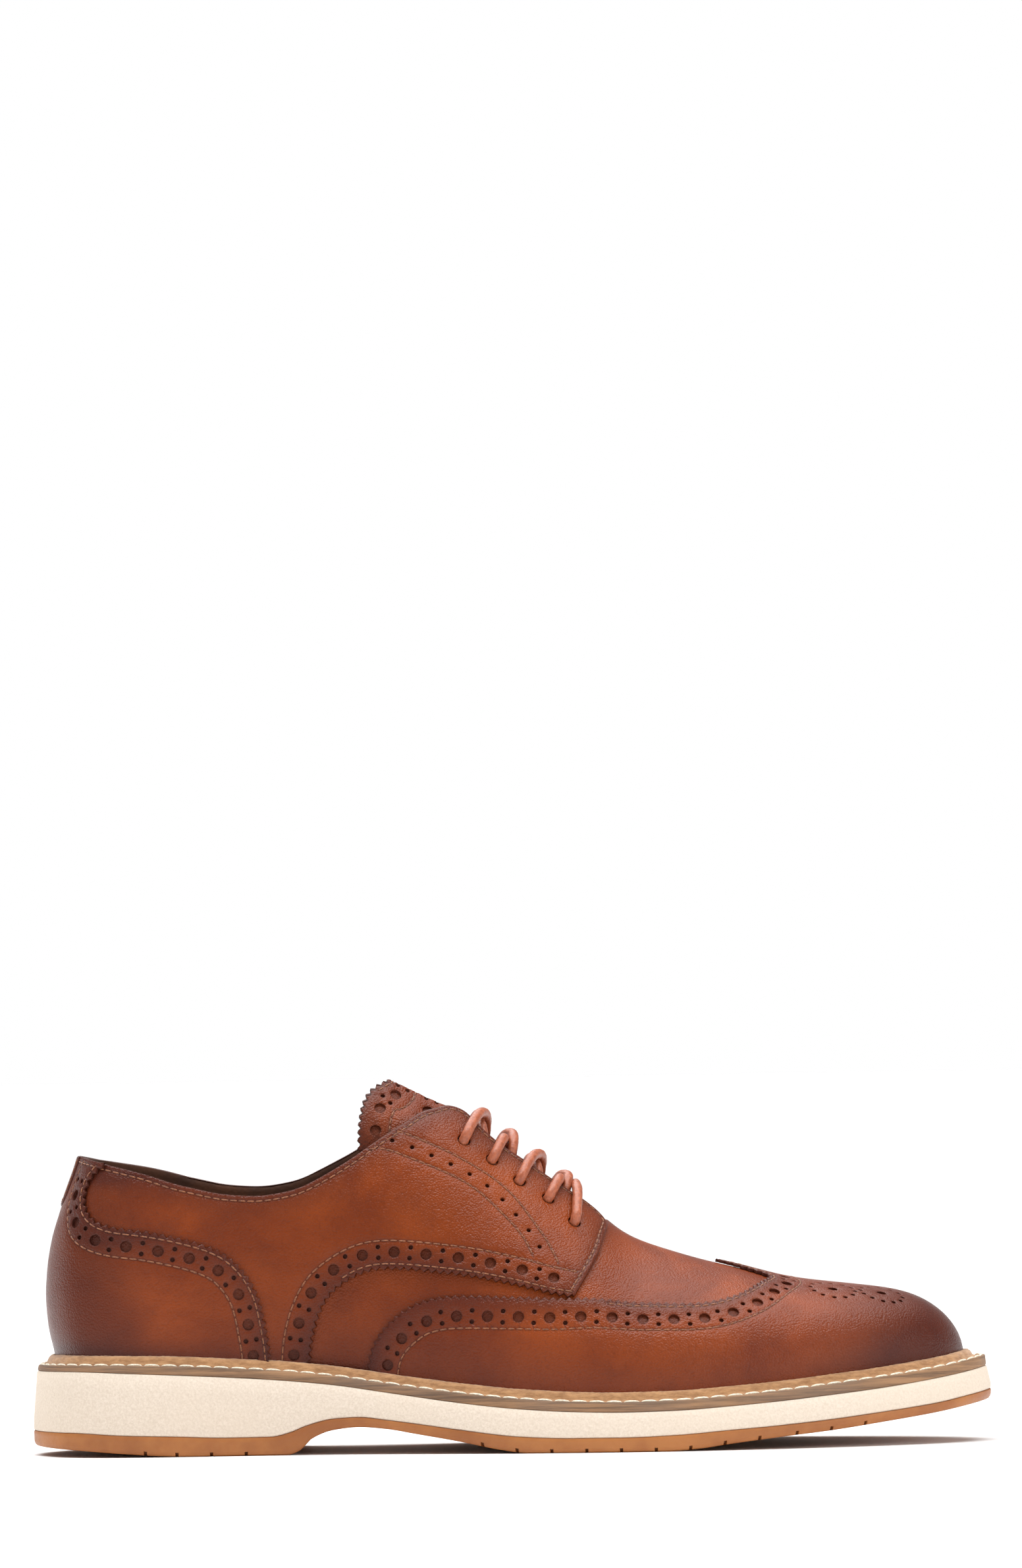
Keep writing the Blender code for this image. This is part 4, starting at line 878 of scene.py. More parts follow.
def leather(name, burnish=1.0, light=(147, 65, 19), mid=(116, 47, 14), dark=(64, 27, 22), rough=0.33):
    """Hand-burnished calf: orange-brown middle, darker towards cut edges, toe and heel; fine pebbled grain."""
    s = Shade(name)
    burn, cut_edge_and_hollow_shade, groove = s.wear_and_painted_shade()
    x, y, z = s.xyz()
    cloud = s.noise(26.0, 4.0, 0.55, distort=0.6)
    cloud2 = s.noise(95.0, 3.0, 0.55)
    toe = s.remap(x, 0.088, 0.141)
    heel = s.math("MULTIPLY", s.remap(x, -0.098, -0.140), 0.75)
    low = s.math("MULTIPLY", s.remap(z, 0.046, 0.022), 0.55)
    total = s.math("ADD", s.math("MULTIPLY", burn, 0.80 * burnish), s.math("MAXIMUM", toe, heel))
    total = s.math("ADD", total, s.math("MULTIPLY", low, 0.75))
    total = s.math("MULTIPLY", total, s.remap(cloud, 0.15, 0.85, 0.72, 1.22, False))
    total = s.math("MINIMUM", total, 1.0)
    base_c = s.mix(s.remap(cloud, 0.32, 0.68), lin(*mid), lin(*light))
    base_c = s.mix(s.math("MULTIPLY", s.remap(cloud2, 0.45, 0.80), 0.22), base_c, lin(*dark))
    # painted shade: the quarter between heel and facing, below the topline, is darkened in the base colour to stand for
    # shade from the lamps
    painted_waist_shade = s.math("MULTIPLY", s.math("MULTIPLY", s.remap(x, -0.120, -0.085), s.remap(x, 0.020, -0.030)), s.remap(z, 0.096, 0.074))
    base_c = s.mix(s.math("MULTIPLY", painted_waist_shade, 0.42), base_c, lin(92, 34, 8))
    col = s.mix(s.math("MULTIPLY", total, 0.86), base_c, lin(*dark))
    # grain: pebbles about 0.7 mm with finer wrinkles between
    warp = s.n("ShaderNodeVectorMath", operation="ADD")
    nz = s.n("ShaderNodeTexNoise", Scale=600.0, Detail=2.0)
    s.put(s.geo, nz.inputs["Vector"])
    sc = s.n("ShaderNodeVectorMath", operation="SCALE")
    s.put(nz.outputs["Color"], sc.inputs[0])
    sc.inputs["Scale"].default_value = 0.0004
    s.put(s.geo, warp.inputs[0])
    s.put(sc.outputs[0], warp.inputs[1])
    peb = s.voronoi(1500.0, warp.outputs[0])
    peb2 = s.voronoi(3100.0, warp.outputs[0])
    crease = s.noise(210.0, 3.0, 0.6)
    pores = s.remap(peb, 0.55, 0.95)
    col = s.mix(s.math("MULTIPLY", pores, 0.16), col, lin(60, 26, 18))
    col = s.mix(s.math("MULTIPLY", groove, 0.62), col, lin(52, 24, 18))
    # dark cut-edge colour, and painted shade on the rims, walls and bottoms of the punched holes
    col = s.mix(s.math("MULTIPLY", cut_edge_and_hollow_shade, 0.70), col, lin(58, 27, 19))
    h = s.math("ADD", s.math("MULTIPLY", s.remap(peb, 0.0, 1.0, 1.0, 0.0, False), 0.75), s.math("MULTIPLY", peb2, -0.22))
    h = s.math("ADD", h, s.math("MULTIPLY", crease, 0.06))
    nrm = s.bump(h, 0.00026, 0.80)
    rg = s.math("ADD", s.remap(cloud2, 0.2, 0.8, rough - 0.045, rough + 0.055, False), s.math("MULTIPLY", cut_edge_and_hollow_shade, 0.25))
    m = s.done(col, rg, nrm, Specular_IOR_Level=0.17, Coat_Weight=0.09, Coat_Roughness=0.20)
    s.put(nrm, s.b.inputs["Coat Normal"])
    return m


CALF = leather("cognac_calf")
WINGCALF = leather("burnished_calf", burnish=1.05, light=(143, 64, 23), mid=(115, 47, 18))


def mat_lining():
    s = Shade("lining_calf")
    c = s.noise(60.0, 4.0, 0.6)
    peb = s.voronoi(900.0)
    col = s.mix(s.remap(c, 0.3, 0.7), lin(52, 28, 16), lin(76, 43, 24))
    col = s.mix(s.math("MULTIPLY", s.remap(peb, 0.5, 0.9), 0.25), col, lin(46, 27, 18))
    return s.done(col, 0.62, s.bump(s.math("ADD", peb, s.math("MULTIPLY", c, 0.8)), 0.00012, 0.5), Specular_IOR_Level=0.15)


def mat_sock():
    s = Shade("sock_lining_leather")
    c = s.noise(40.0, 4.0, 0.6)
    col = s.mix(s.remap(c, 0.3, 0.7), lin(84, 50, 28), lin(112, 72, 42))
    return s.done(col, 0.55, s.bump(s.voronoi(1100.0), 0.0001, 0.5))


def mat_thread(name, a, b):
    s = Shade(name)
    t = s.noise(1400.0, 2.0, 0.5, s.stretch(1, 1, 1.6))
    col = s.mix(s.remap(t, 0.35, 0.65), lin(*a), lin(*b))
    return s.done(col, 0.55, s.bump(t, 0.00008, 0.6), Sheen_Weight=0.2)


THREAD = mat_thread("brown_thread", (104, 56, 28), (150, 88, 46))
THREAD_DARK = mat_thread("dark_thread", (96, 56, 36), (132, 82, 52))
CREAM_THREAD = mat_thread("cream_thread", (214, 200, 174), (246, 238, 218))


def mat_rand():
    s = Shade("storm_welt_leather")
    fib = s.noise(900.0, 5.0, 0.7, s.stretch(0.35, 0.35, 1.0))
    big = s.noise(75.0, 4.0, 0.6)
    _, cut_edge_and_hollow_shade, _ = s.wear_and_painted_shade()
    col = s.mix(s.remap(fib, 0.3, 0.7), lin(150, 106, 66), lin(190, 144, 98))
    col = s.mix(s.math("MULTIPLY", s.remap(big, 0.42, 0.75), 0.30), col, lin(134, 94, 56))
    return s.done(col, 0.88, s.bump(s.math("ADD", fib, s.math("MULTIPLY", big, 0.3)), 0.00035, 0.7), Sheen_Weight=0.35, Sheen_Roughness=0.5)


def mat_stack():
    s = Shade("stacked_leather_edge")
    st = s.noise(160.0, 6.0, 0.72, s.stretch(0.16, 0.16, 4.2))
    st2 = s.noise(420.0, 4.0, 0.7, s.stretch(0.10, 0.10, 6.0))
    big = s.noise(30.0, 3.0, 0.6)
    col = s.mix(s.remap(st, 0.34, 0.66), lin(102, 76, 55), lin(162, 122, 86))
    col = s.mix(s.math("MULTIPLY", s.remap(st2, 0.5, 0.75), 0.5), col, lin(78, 57, 43))
    col = s.mix(s.math("MULTIPLY", s.remap(big, 0.45, 0.7), 0.45), col, lin(112, 94, 82))
    return s.done(col, 0.62, s.bump(s.math("ADD", st, st2), 0.00022, 0.7))


def mat_foam():
    s = Shade("cream_midsole_foam")
    fine = s.noise(1500.0, 3.0, 0.7)
    vor = s.voronoi(800.0)
    big = s.noise(22.0, 3.0, 0.5)
    col = s.mix(s.remap(fine, 0.30, 0.72), lin(214, 198, 180), lin(228, 214, 198))
    col = s.mix(s.math("MULTIPLY", s.remap(big, 0.4, 0.7), 0.35), col, lin(222, 205, 186))
    col = s.mix(s.math("MULTIPLY", s.remap(vor, 0.10, 0.03), 0.25), col, lin(170, 142, 112))
    return s.done(col, 0.72, s.bump(s.math("ADD", fine, vor), 0.00014, 0.7), Specular_IOR_Level=0.35)


def mat_gum():
    s = Shade("gum_rubber")
    fine = s.noise(1100.0, 3.0, 0.6)
    big = s.noise(45.0, 4.0, 0.6)
    _, cut_edge_and_hollow_shade, _ = s.wear_and_painted_shade()
    col = s.mix(s.remap(big, 0.3, 0.7), lin(150, 88, 40), lin(176, 112, 56))
    # painted shade: darker gum in the side slits and the tread grooves
    col = s.mix(s.math("MULTIPLY", cut_edge_and_hollow_shade, 0.8), col, lin(120, 66, 32))
    return s.done(col, s.remap(fine, 0.3, 0.7, 0.42, 0.58, False), s.bump(fine, 0.00012, 0.55),
                  Subsurface_Weight=0.08, Subsurface_Scale=0.003)


def mat_lace():
    s = Shade("waxed_lace")
    braid, dark, _ = s.wear_and_painted_shade()
    fib = s.noise(1800.0, 3.0, 0.6)
    blot = s.noise(900.0, 2.0, 0.6)
    col = s.mix(s.remap(blot, 0.3, 0.7), lin(152, 78, 48), lin(176, 96, 62))
    # painted shade: darker in the valleys between the braid's strands
    col = s.mix(s.math("MULTIPLY", braid, 0.35), col, lin(130, 62, 40))
    col = s.mix(s.math("MULTIPLY", s.remap(fib, 0.55, 0.8), 0.3), col, lin(204, 136, 100))
    return s.done(col, s.remap(blot, 0.2, 0.8, 0.36, 0.55, False), s.bump(s.math("ADD", fib, blot), 0.00016, 0.6), Coat_Weight=0.15, Coat_Roughness=0.35)


def mat_plain(name, a, b, rough, scale, metal=0.0, bump=0.0002):
    s = Shade(name)
    c = s.noise(scale, 4.0, 0.6)
    v = s.voronoi(scale * 2.2)
    col = s.mix(s.remap(c, 0.3, 0.7), lin(*a), lin(*b))
    return s.done(col, s.remap(c, 0.2, 0.8, rough - 0.06, rough + 0.06, False), s.bump(s.math("ADD", c, v), bump, 0.6), Metallic=metal)


def mat_cork():
    s = Shade("cork_filler")
    v = s.voronoi(420.0)
    w = s.voronoi(130.0)
    c = s.noise(200.0, 4.0, 0.6)
    col = s.mix(s.remap(c, 0.3, 0.7), lin(166, 118, 74), lin(206, 160, 110))
    col = s.mix(s.math("MULTIPLY", s.remap(w, 0.25, 0.1), 0.7), col, lin(96, 60, 36))
    return s.done(col, 0.88, s.bump(s.math("ADD", v, w), 0.0005, 0.7))


LININGM, SOCKM, RANDM, STACKM, FOAMM, GUMM, LACEM, CORKM = (
    mat_lining(), mat_sock(), mat_rand(), mat_stack(), mat_foam(), mat_gum(), mat_lace(), mat_cork())
BOARDM = mat_plain("fibre_board", (150, 120, 88), (182, 150, 112), 0.85, 240.0)
BEDM = mat_plain("footbed_foam", (70, 56, 46), (96, 78, 62), 0.9, 700.0)
STEELM = mat_plain("shank_steel", (150, 150, 154), (186, 186, 190), 0.34, 90.0, 1.0, 0.00005)
AGLETM = mat_plain("aglet_film", (92, 44, 28), (122, 62, 38), 0.25, 150.0)

# hidden CAD pieces keep their shape and take a finish of their own
for nm, m, sl in (("cork_filler_rear", CORKM, "cork"), ("cork_filler_forefoot", CORKM, "cork"),
                  ("insole_board_rear", BOARDM, "board"), ("insole_board_forefoot", BOARDM, "board"),
                  ("footbed_rear", BEDM, "footbed_foam"), ("footbed_forefoot", BEDM, "footbed_foam"),
                  ("shank", STEELM, "shank_steel"), ("toe_puff", BOARDM, "board"), ("heel_counter", BOARDM, "board")):
    ob = frame["nodes"].get(nm) if isinstance(frame["nodes"], dict) else None
    ob = ob or bpy.data.objects[nm]
    ob.data.materials.clear()
    ob.data.materials.append(m)

FLEX_A, FLEX_B = (0.034, Y_SHIFT * MM, 0.02), (0.066, Y_SHIFT * MM, 0.02)


def rides(ob, body, slot_name, *nodes):
    if body == "flex":
        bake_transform(ob)
        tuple(FLEX_A)
        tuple(FLEX_B)
    else:
        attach(ob, body)
    if nodes:
        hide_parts(*nodes)
    return ob


# ------------------------------------------------------------------ sole
_el = np.concatenate([[0], np.cumsum(np.linalg.norm(np.diff(np.vstack([EDGE, EDGE[:1]]), axis=0), axis=1))])
PERIM = _el[-1]
_ee = np.vstack([EDGE, EDGE[:1]])
_en = np.vstack([EDGE_N, EDGE_N[:1]])
SIPES = [-117, -107, -96, -85, -10, 1, 12, 23, 34, 45, 56, 67, 78, 90, 101, 112]


def ring_pts(s, off):
    p = np.stack([np.interp(s, _el, _ee[:, i]) for i in (0, 1)], 1)
    n = np.stack([np.interp(s, _el, _en[:, i]) for i in (0, 1)], 1)
    o = off(p[:, 0]) if callable(off) else off
    return p + n * (np.asarray(o) * np.ones(len(p)))[:, None]


def loft(name, rows, mats, s, wear_and_shade_rows=None, caps=(True, True), cap_pts=None, angle=40, sunk=None, jitter=0.0):
    """Closed ring loft round the sole: rows of (offset, height function), bottom to top, with caps."""
    V, F, W = [], [], []
    n = len(s)
    for r, (off, zf) in enumerate(rows):
        o = np.asarray(off(ring_pts(s, 0)[:, 0]) if callable(off) else off) * np.ones(n)
        if sunk is not None:
            o = o + sunk(r)
        p = ring_pts(s, 0) + np.stack([np.interp(s, _el, _en[:, i]) for i in (0, 1)], 1) * o[:, None]
        if jitter:
            p = p + RNG.normal(0, jitter, p.shape)
        z = zf(p[:, 0])
        V.append(np.column_stack([p, z]))
        W.append(np.tile([0.0, 0.0, 0.0], (n, 1)) if wear_and_shade_rows is None else wear_and_shade_rows(r, n))
    for r in range(len(rows) - 1):
        for i in range(n):
            j = (i + 1) % n
            F.append((r * n + i, r * n + j, (r + 1) * n + j, (r + 1) * n + i))
    V, W = np.vstack(V), np.vstack(W)
    for which, ci in ((0, 0), (1, len(rows) - 1)):
        if not caps[which]:
            continue
        loop = np.arange(ci * n, ci * n + n)
        ring = V[loop][:, :2]
        zf = rows[ci][1]
        lo, hi = ring.min(0), ring.max(0)
        sp = 1.5 if (which == 0 and cap_pts is not None) else 6.0
        gx, gy = np.meshgrid(np.arange(lo[0], hi[0], sp), np.arange(lo[1], hi[1], sp), indexing="ij")
        g = np.stack([gx.ravel() + 0.01, gy.ravel() + 0.013], 1)
        g = g[inside(ring, g)]
        g = g[to_edge(ring, g) > sp * 0.55]
        if which == 0 and cap_pts is not None:
            gz = cap_pts(g)
        else:
            gz = zf(g[:, 0])
        P = np.vstack([ring, g])
        res = delaunay_2d_cdt([Vector((float(a), float(b))) for a, b in P],
                              [(i, (i + 1) % n) for i in range(n)], [], 1, 1e-6)
        idx = np.array([o[0] if len(o) else 0 for o in res[3]])
        base_i = len(V)
        remap = np.concatenate([loop, np.arange(base_i, base_i + len(g))])
        for t in res[2]:
            a = [int(remap[idx[q]]) for q in t]
            if len(set(a)) == 3:
                F.append(tuple(a if which else a[::-1]))
        V = np.vstack([V, np.column_stack([g, gz])])
        ww = np.zeros((len(g), 3))
        # painted shade: the tread grooves are marked darker the deeper they are
        if which == 0 and cap_pts is not None:
            ww[:, 1] = np.clip((gz - zf(g[:, 0])) / 1.4, 0, 1)
        W = np.vstack([W, ww])
    ob = make(name, V, F, mats, W, angle=angle)
    bm = bmesh.new()
    bm.from_mesh(ob.data)
    bmesh.ops.recalc_face_normals(bm, faces=bm.faces)
    bm.to_mesh(ob.data)
    bm.free()
    return ob


up = lambda f, d: (lambda x: f(x) + d)
mixz = lambda f, g, t: (lambda x: f(x) * (1 - t) + g(x) * t)
even = np.linspace(0, PERIM, int(PERIM / 1.5), endpoint=False)


def sipe_stations():
    s = list(np.linspace(0, PERIM, int(PERIM / 1.7), endpoint=False))
    marks = []
    q = np.linspace(0, PERIM, 6000)
    px = ring_pts(q, 0)[:, 0]
    for x in SIPES:
        for i in np.nonzero(np.diff(np.sign(px - x)))[0]:
            c = q[i]
            marks.append(c)
            s = [v for v in s if abs(v - c) > 0.9] + [c - 0.55, c - 0.3, c + 0.3, c + 0.55]
    return np.array(sorted(s)), marks


SS, MARKS = sipe_stations()


def sipe_sink(r):
    """Rows near the ground step in at each slit."""
    out = np.zeros(len(SS))
    if r in (1, 2, 3):
        for c in MARKS:
            out[np.abs(SS - c) < 0.4] = -1.5
    return out


def tread(g):
    """Ground face: grooves between low blocks, deeper lines across the flex area, a plain rim."""
    x, y = g[:, 0], g[:, 1]
    rim = np.clip((to_edge(ring_pts(even, -0.9), g) - 5.0) / 1.6, 0, 1)
    wave = x + 6.0 * np.cos(y / 13.0)
    a = np.abs((wave / 9.0) % 1.0 - 0.5) * 9.0
    groove = np.clip((1.35 - a) / 0.7, 0, 1)
    b = np.abs(((y + 1.0) / 15.0) % 1.0 - 0.5) * 15.0
    groove = np.maximum(groove, np.clip((1.1 - b) / 0.7, 0, 1) * (np.abs((wave / 18.0) % 1.0 - 0.5) < 0.26))
    arch = (x > -66) & (x < -6)
    groove = np.where(arch, 0, groove)
    return z_ground(x) + 1.3 * groove * rim


# the second channel marks the side slits, which the gum material darkens as painted shade
outsole = loft("outsole", [(-1.1, z_ground), (-0.75, up(z_ground, 0.12)), (-0.3, up(z_ground, 0.6)), (-0.1, up(z_ground, 1.25)), (-0.05, up(z_ground, 1.3)),
                           (0.0, mixz(z_ground, z_outsole, 0.7)), (0.0, up(z_outsole, -0.35)), (-0.25, up(z_outsole, -0.04)), (-6.0, up(z_outsole, -0.04))],
               GUMM, SS, cap_pts=tread, sunk=sipe_sink,
               wear_and_shade_rows=lambda r, n: np.column_stack([np.zeros(n), (sipe_sink(r) < -1).astype(float), np.zeros(n)]))
rides(outsole, "flex", "gum_rubber", "outsole_rear", "outsole_forefoot")

midsole = loft("midsole", [(-6.0, up(z_outsole, 0.04)), (-0.4, up(z_outsole, 0.04)), (0.02, up(z_outsole, 0.4)), (-0.02, mixz(z_outsole, z_midsole, 0.2)),
                           (-0.38, mixz(z_outsole, z_midsole, 0.45)), (-0.8, mixz(z_outsole, z_midsole, 0.7)), (-1.2, up(z_midsole, -0.5)),
                           (-1.6, up(z_midsole, -0.03)), (-6.5, up(z_midsole, -0.03))], FOAMM, even)
rides(midsole, "flex", "midsole_foam", "midsole_rear", "midsole_forefoot")


def rough_z(f, d, amp, seed):
    """Height with the small unevenness of a cut leather edge."""
    ph = np.random.default_rng(seed).uniform(0, 6.28, 6)
    return lambda x: f(x) + d + amp * sum(np.sin(np.asarray(x) * w + p) for w, p in zip((0.9, 1.7, 2.9, 0.37, 4.1, 0.21), ph)) / 3


band = loft("welt_band", [(-7.0, up(z_midsole, 0.03)), (-1.75, up(z_midsole, 0.03)), (-1.45, up(z_midsole, 0.35)),
                          (-1.5, mixz(z_midsole, z_band, 0.35)), (-1.62, mixz(z_midsole, z_band, 0.7)), (-1.72, rough_z(z_band, -0.2, 0.05, 3)),
                          (-1.95, rough_z(z_band, 0.06, 0.05, 3)), (-2.3, rough_z(z_band, 0.1, 0.04, 3)), (-3.6, up(z_band, 0.05)), (-7.0, up(z_band, -0.12))], STACKM, even)
rides(band, "flex", "stacked_leather", "welt_band_rear", "welt_band_forefoot")

# storm welt: a strip whose lip stands up against the upper
upper_at = smooth([(-154, -7.1), (-86, -7.1), (-76, -8.3), (-50, -8.3), (-42, -8.45), (150, -8.45)])


def rr(d, amp, seed):
    ph = np.random.default_rng(seed).uniform(0, 6.28, 4)
    return lambda x: upper_at(x) + d + amp * sum(np.sin(np.asarray(x) * w + p) for w, p in zip((0.8, 1.9, 3.1, 0.33), ph)) / 2


def rz(d, amp, seed):
    return rough_z(z_band, d, amp, seed)


fine = np.linspace(0, PERIM, int(PERIM / 0.9), endpoint=False)
rand_rows = [(-3.3, rz(-0.1, 0.0, 1)), (-3.4, rz(0.12, 0.03, 1)), (-3.7, rz(0.22, 0.04, 1)), (-4.2, rz(0.25, 0.05, 2)), (rr(3.1, 0.05, 5), rz(0.35, 0.06, 2)),
             (rr(2.55, 0.08, 5), rz(0.85, 0.06, 4)), (rr(2.3, 0.10, 6), rz(1.55, 0.07, 4)), (rr(1.9, 0.10, 6), rz(2.35, 0.08, 7)),
             (rr(1.25, 0.08, 8), rz(2.95, 0.09, 7)), (rr(0.55, 0.06, 8), rz(3.15, 0.09, 9)), (rr(0.1, 0.03, 9), rz(2.85, 0.08, 9)),
             (rr(-0.15, 0.0, 9), rz(1.6, 0.0, 9)), (rr(-0.15, 0.0, 9), rz(-0.1, 0.0, 9)), (-3.8, rz(-0.1, 0.0, 1))]


def tube_ring(name, rows, mat, s):
    V = []
    n, m = len(s), len(rows)
    for off, zf in rows:
        p = ring_pts(s, off)
        V.append(np.column_stack([p, zf(p[:, 0])]))
    F = [(r * n + i, r * n + (i + 1) % n, ((r + 1) % m) * n + (i + 1) % n, ((r + 1) % m) * n + i) for r in range(m) for i in range(n)]
    ob = make(name, np.vstack(V), F, mat, angle=60)
    bm = bmesh.new()
    bm.from_mesh(ob.data)
    bmesh.ops.recalc_face_normals(bm, faces=bm.faces)
    bm.to_mesh(ob.data)
    bm.free()
    return ob


rides(tube_ring("storm_welt", rand_rows, RANDM, fine), "flex", "welt_leather", "storm_welt_rear", "storm_welt_forefoot")


class Rim:
    """Chart of the welt's top: a along the edge, b inwards from it."""

    def to3(self, p, off=0.0):
        p = np.asarray(p, float)
        s = np.mod(p[:, 0], PERIM)
        q = ring_pts(s, 0) + np.stack([np.interp(s, _el, _en[:, i]) for i in (0, 1)], 1) * (-p[:, 1])[:, None]
        return np.column_stack([q, z_band(q[:, 0]) + 0.12 + np.asarray(off) * np.ones(len(p))])


RIM = Rim()
welt_line = np.column_stack([np.linspace(0, PERIM, 1500), np.full(1500, 2.75)])
rides(stitching("welt_stitching", [(RIM, welt_line, 0.08, 5.5, 4.9, 0.37)], CREAM_THREAD, 8), "flex", "lace_cotton")
# the punched dimples between welt stitches are closed by the thread; sock lining over the footbed
st_h = smooth([(-154, 1.0), (-60, 1.0), (20, 0.62), (150, 0.62)])
inner = lambda level: (lambda x: z_band(x) - 1.0 + level * st_h(x))
sock = loft("sock_lining", [(-15.2, inner(9.2)), (-14.6, inner(9.5)), (-14.3, inner(10.6)), (-15.0, inner(11.0)), (-17.5, inner(10.6)), (-20.5, inner(10.25))],
            SOCKM, np.linspace(0, PERIM, 300, endpoint=False), caps=(True, True))
rides(sock, "flex", "lining_leather", "sock_lining_rear", "sock_lining_forefoot")


# ------------------------------------------------------------------ upper
top_z, low_z, vhigh_z, fox_z, facing_y = (line(p) for p in (TOPLINE, QUARTER_LOW, VAMP_HIGH, FOX_TOP, FACING_Y))
W, T = Wrap(), Top()
BIG, SMALL = 1.82, 0.76


def heel_t(side, k, z):
    return float(np.interp(float(z), base(side, k, TS)[:, 2], TS))


def heel_top(side, k, off=0.0):
    t = 0.7
    for _ in range(6):
        x = float(base(side, k, t)[0][0])
        t = heel_t(side, k, float(top_z(x)) + off)
    return t


def on(chart, side, pts, by="z"):
    """Pattern points (x, z) or (x, |y|) as chart points."""
    out = []
    for x, v in pts:
        k, t = kt(side, x, z=v) if by == "z" else (kt(side, x, y=v) if v > 0.05 else (k_at_x(side, x), 1.0))
        out.append(chart.at(side, k, max(t, 0.0))[0])
    return np.array(out)


def welt_run(chart, side, x0, x1, n, t=0.0):
    """Points on the welt line from x0 to x1."""
    xs = np.linspace(x0, x1, n)
    ks = np.interp(xs, FEATHER[side][:, 0], FK[side])
    return chart.at(side, ks, np.full(n, t))


def brogue(chart, c, pitch, apart, start=None, stop=None, first=0.5):
    """Big holes along c with a pair of small ones between each two."""
    u = arcs(chart, c)
    a0 = 0.0 if start is None else start
    a1 = u[-1] if stop is None else stop
    n = max(1, int(round((a1 - a0) / pitch)))
    s = a0 + (np.arange(n) + first) * (a1 - a0) / n
    mid = a0 + (np.arange(n + 1) + first - 0.5) * (a1 - a0) / n
    mid = mid[(mid > a0 + 1.6) & (mid < a1 - 1.6)]
    holes = [(p[0], p[1], BIG) for p in pick(c, u, s)]
    for d in (apart, -apart):
        b = beside(chart, c, d)
        holes += [(p[0], p[1], SMALL) for p in pick(b, u, mid)]
    return holes


rise = lambda x: float(np.interp(x, [-128, -108, -60, -24], [0, 2.2, 2.6, 0]))     # the inner ankle sits a little higher
lift = line([(-80, 0), (-66, 0.5), (-53, 1.3), (-44, 2.5), (-35, 3.3), (-27.5, 2.9), (-23.5, 1.7), (-20.2, 0.7)])   # the outer layer stands above its lining
edge_y = line([(-18, 4.6), (-14.5, 6.6), (-10, 8.4), (-4, 9.4), (3, 9.6), (12, 9.2), (20, 8.2), (26, 7.2), (29, 7.8), (30.5, 9.4), (31.2, 12.2)])
SEAM_K = 0.0009
runs_body = {"rear": []}
eyestay_up = [(-41.5, 101.8), (-36.5, 101.6), (-28.5, 98.7), (-20.5, 95.0), (-12.5, 90.4), (-4.6, 85.0), (1.8, 78.9), (7.3, 71.5), (11.2, 65.8), (14.8, 58.9)]
eyestay_low = [(-46.5, 95.8), (-41.4, 96.2), (-33.4, 93.7), (-25.4, 90.4), (-17.4, 86.6), (-11.0, 82.5), (-5.5, 77.5), (0.1, 71.8), (4.0, 66.9), (6.7, 61.6)]
Q_OUT, Q_T = 1.50, 1.30

for side, nm in ((0, "lateral"), (1, "medial")):
    sg = 1 if side else -1
    kh = k_at_x(side, HEEL_CENTRE_X)
    low = curve(np.vstack([welt_run(W, side, -64.8, -64.6, 1), on(W, side, QUARTER_LOW[1:13])]))
    front = on(W, side, [QUARTER_LOW[12], (21.9, 52.1), QUARTER_LOW[13], (26.4, 59.6), (28.0, 62.6)])
    fx = [30.35, 29.6, 28.4, 27, 24, 20, 15, 10, 5, 0, -4, -8, -11.5, -14.6]
    facing = on(W, side, [(30.2, 13.2)] + [(x, float(np.interp(x, [27, 28.4, 29.6, 30.35], [7.3, 7.9, 8.9, 10.4]) if x > 27 else edge_y(x))) for x in fx], "y")
    tx = [-20.2, -23.5, -27.5, -32, -38, -44, -50, -56, -62, -68, -74, -80, -87, -94, -99, -104.5]
    topl = on(W, side, [(x, float(top_z(x)) + float(lift(x)) + side * rise(x)) for x in tx])
    hk = [kh * f for f in (0.92, 0.8, 0.66, 0.52, 0.38, 0.24, 0.12)] + [SEAM_K]
    heel = np.vstack([W.at(side, k, heel_top(side, k, side * rise(base(side, k, 0.8)[0][0]))) for k in hk])
    corner = np.vstack([front[-1:], facing[:2]])
    upper_edge = curve(np.vstack([facing[-6:], topl, heel]), 0.8)
    facing_c = curve(np.vstack([front[-1:], facing[:-5]]), 0.8)
    edge_line = np.vstack([curve(front, 0.8)[:-1], facing_c[:-1], upper_edge])
    low_p = pinked(W, low)
    foot = welt_run(W, side, -142.4, -65.2, 60)
    seam = W.at(side, np.full(12, SEAM_K), np.linspace(heel_top(side, SEAM_K), 0.0, 12))
    outline = np.vstack([low_p, edge_line[1:], seam[1:], W.at(side, SEAM_K, 0.0), foot[::1]])
    inw = sg
    c = beside(W, low, inw * 5.1)
    holes = brogue(W, c, 10.0, 1.72, start=2.0, stop=arcs(W, c)[-1] - 1.2, first=0.42)
    l1, l2 = beside(W, low, inw * 1.35), beside(W, low, inw * 8.75)
    s1 = beside(W, edge_line, -inw * -1.0 * 1.75)
    su, sl = curve(on(W, side, eyestay_up)), curve(on(W, side, eyestay_low))
    n = min(len(su), len(sl))
    mid = (pick(su, arcs(W, su), np.linspace(0, arcs(W, su)[-1], 80)) + pick(sl, arcs(W, sl), np.linspace(0, arcs(W, sl)[-1], 80))) / 2
    um = arcs(W, mid)
    holes += [(p[0], p[1], 0.72) for p in pick(mid, um, np.arange(6.6, um[-1] - 2.2, 6.75))]
    for hx, hz in LACE_HOLES:
        p = on(W, side, [(hx, hz - 1.3)])[0]
        holes.append((p[0], p[1], 2.15))
    lines, holes = tidy(outline, [l1, l2, s1, su, sl], holes)
    ob = patch("quarter_" + nm, W, outline, holes, lines, Q_OUT, Q_T, CALF, burn=10.0)
    rides(ob, "rear", "cognac_leather", "quarter_" + nm)
    rs = [(W, l, Q_OUT - 0.2, 2.75, 2.35, 0.24) for l in lines]
    runs_body["rear"] += rs

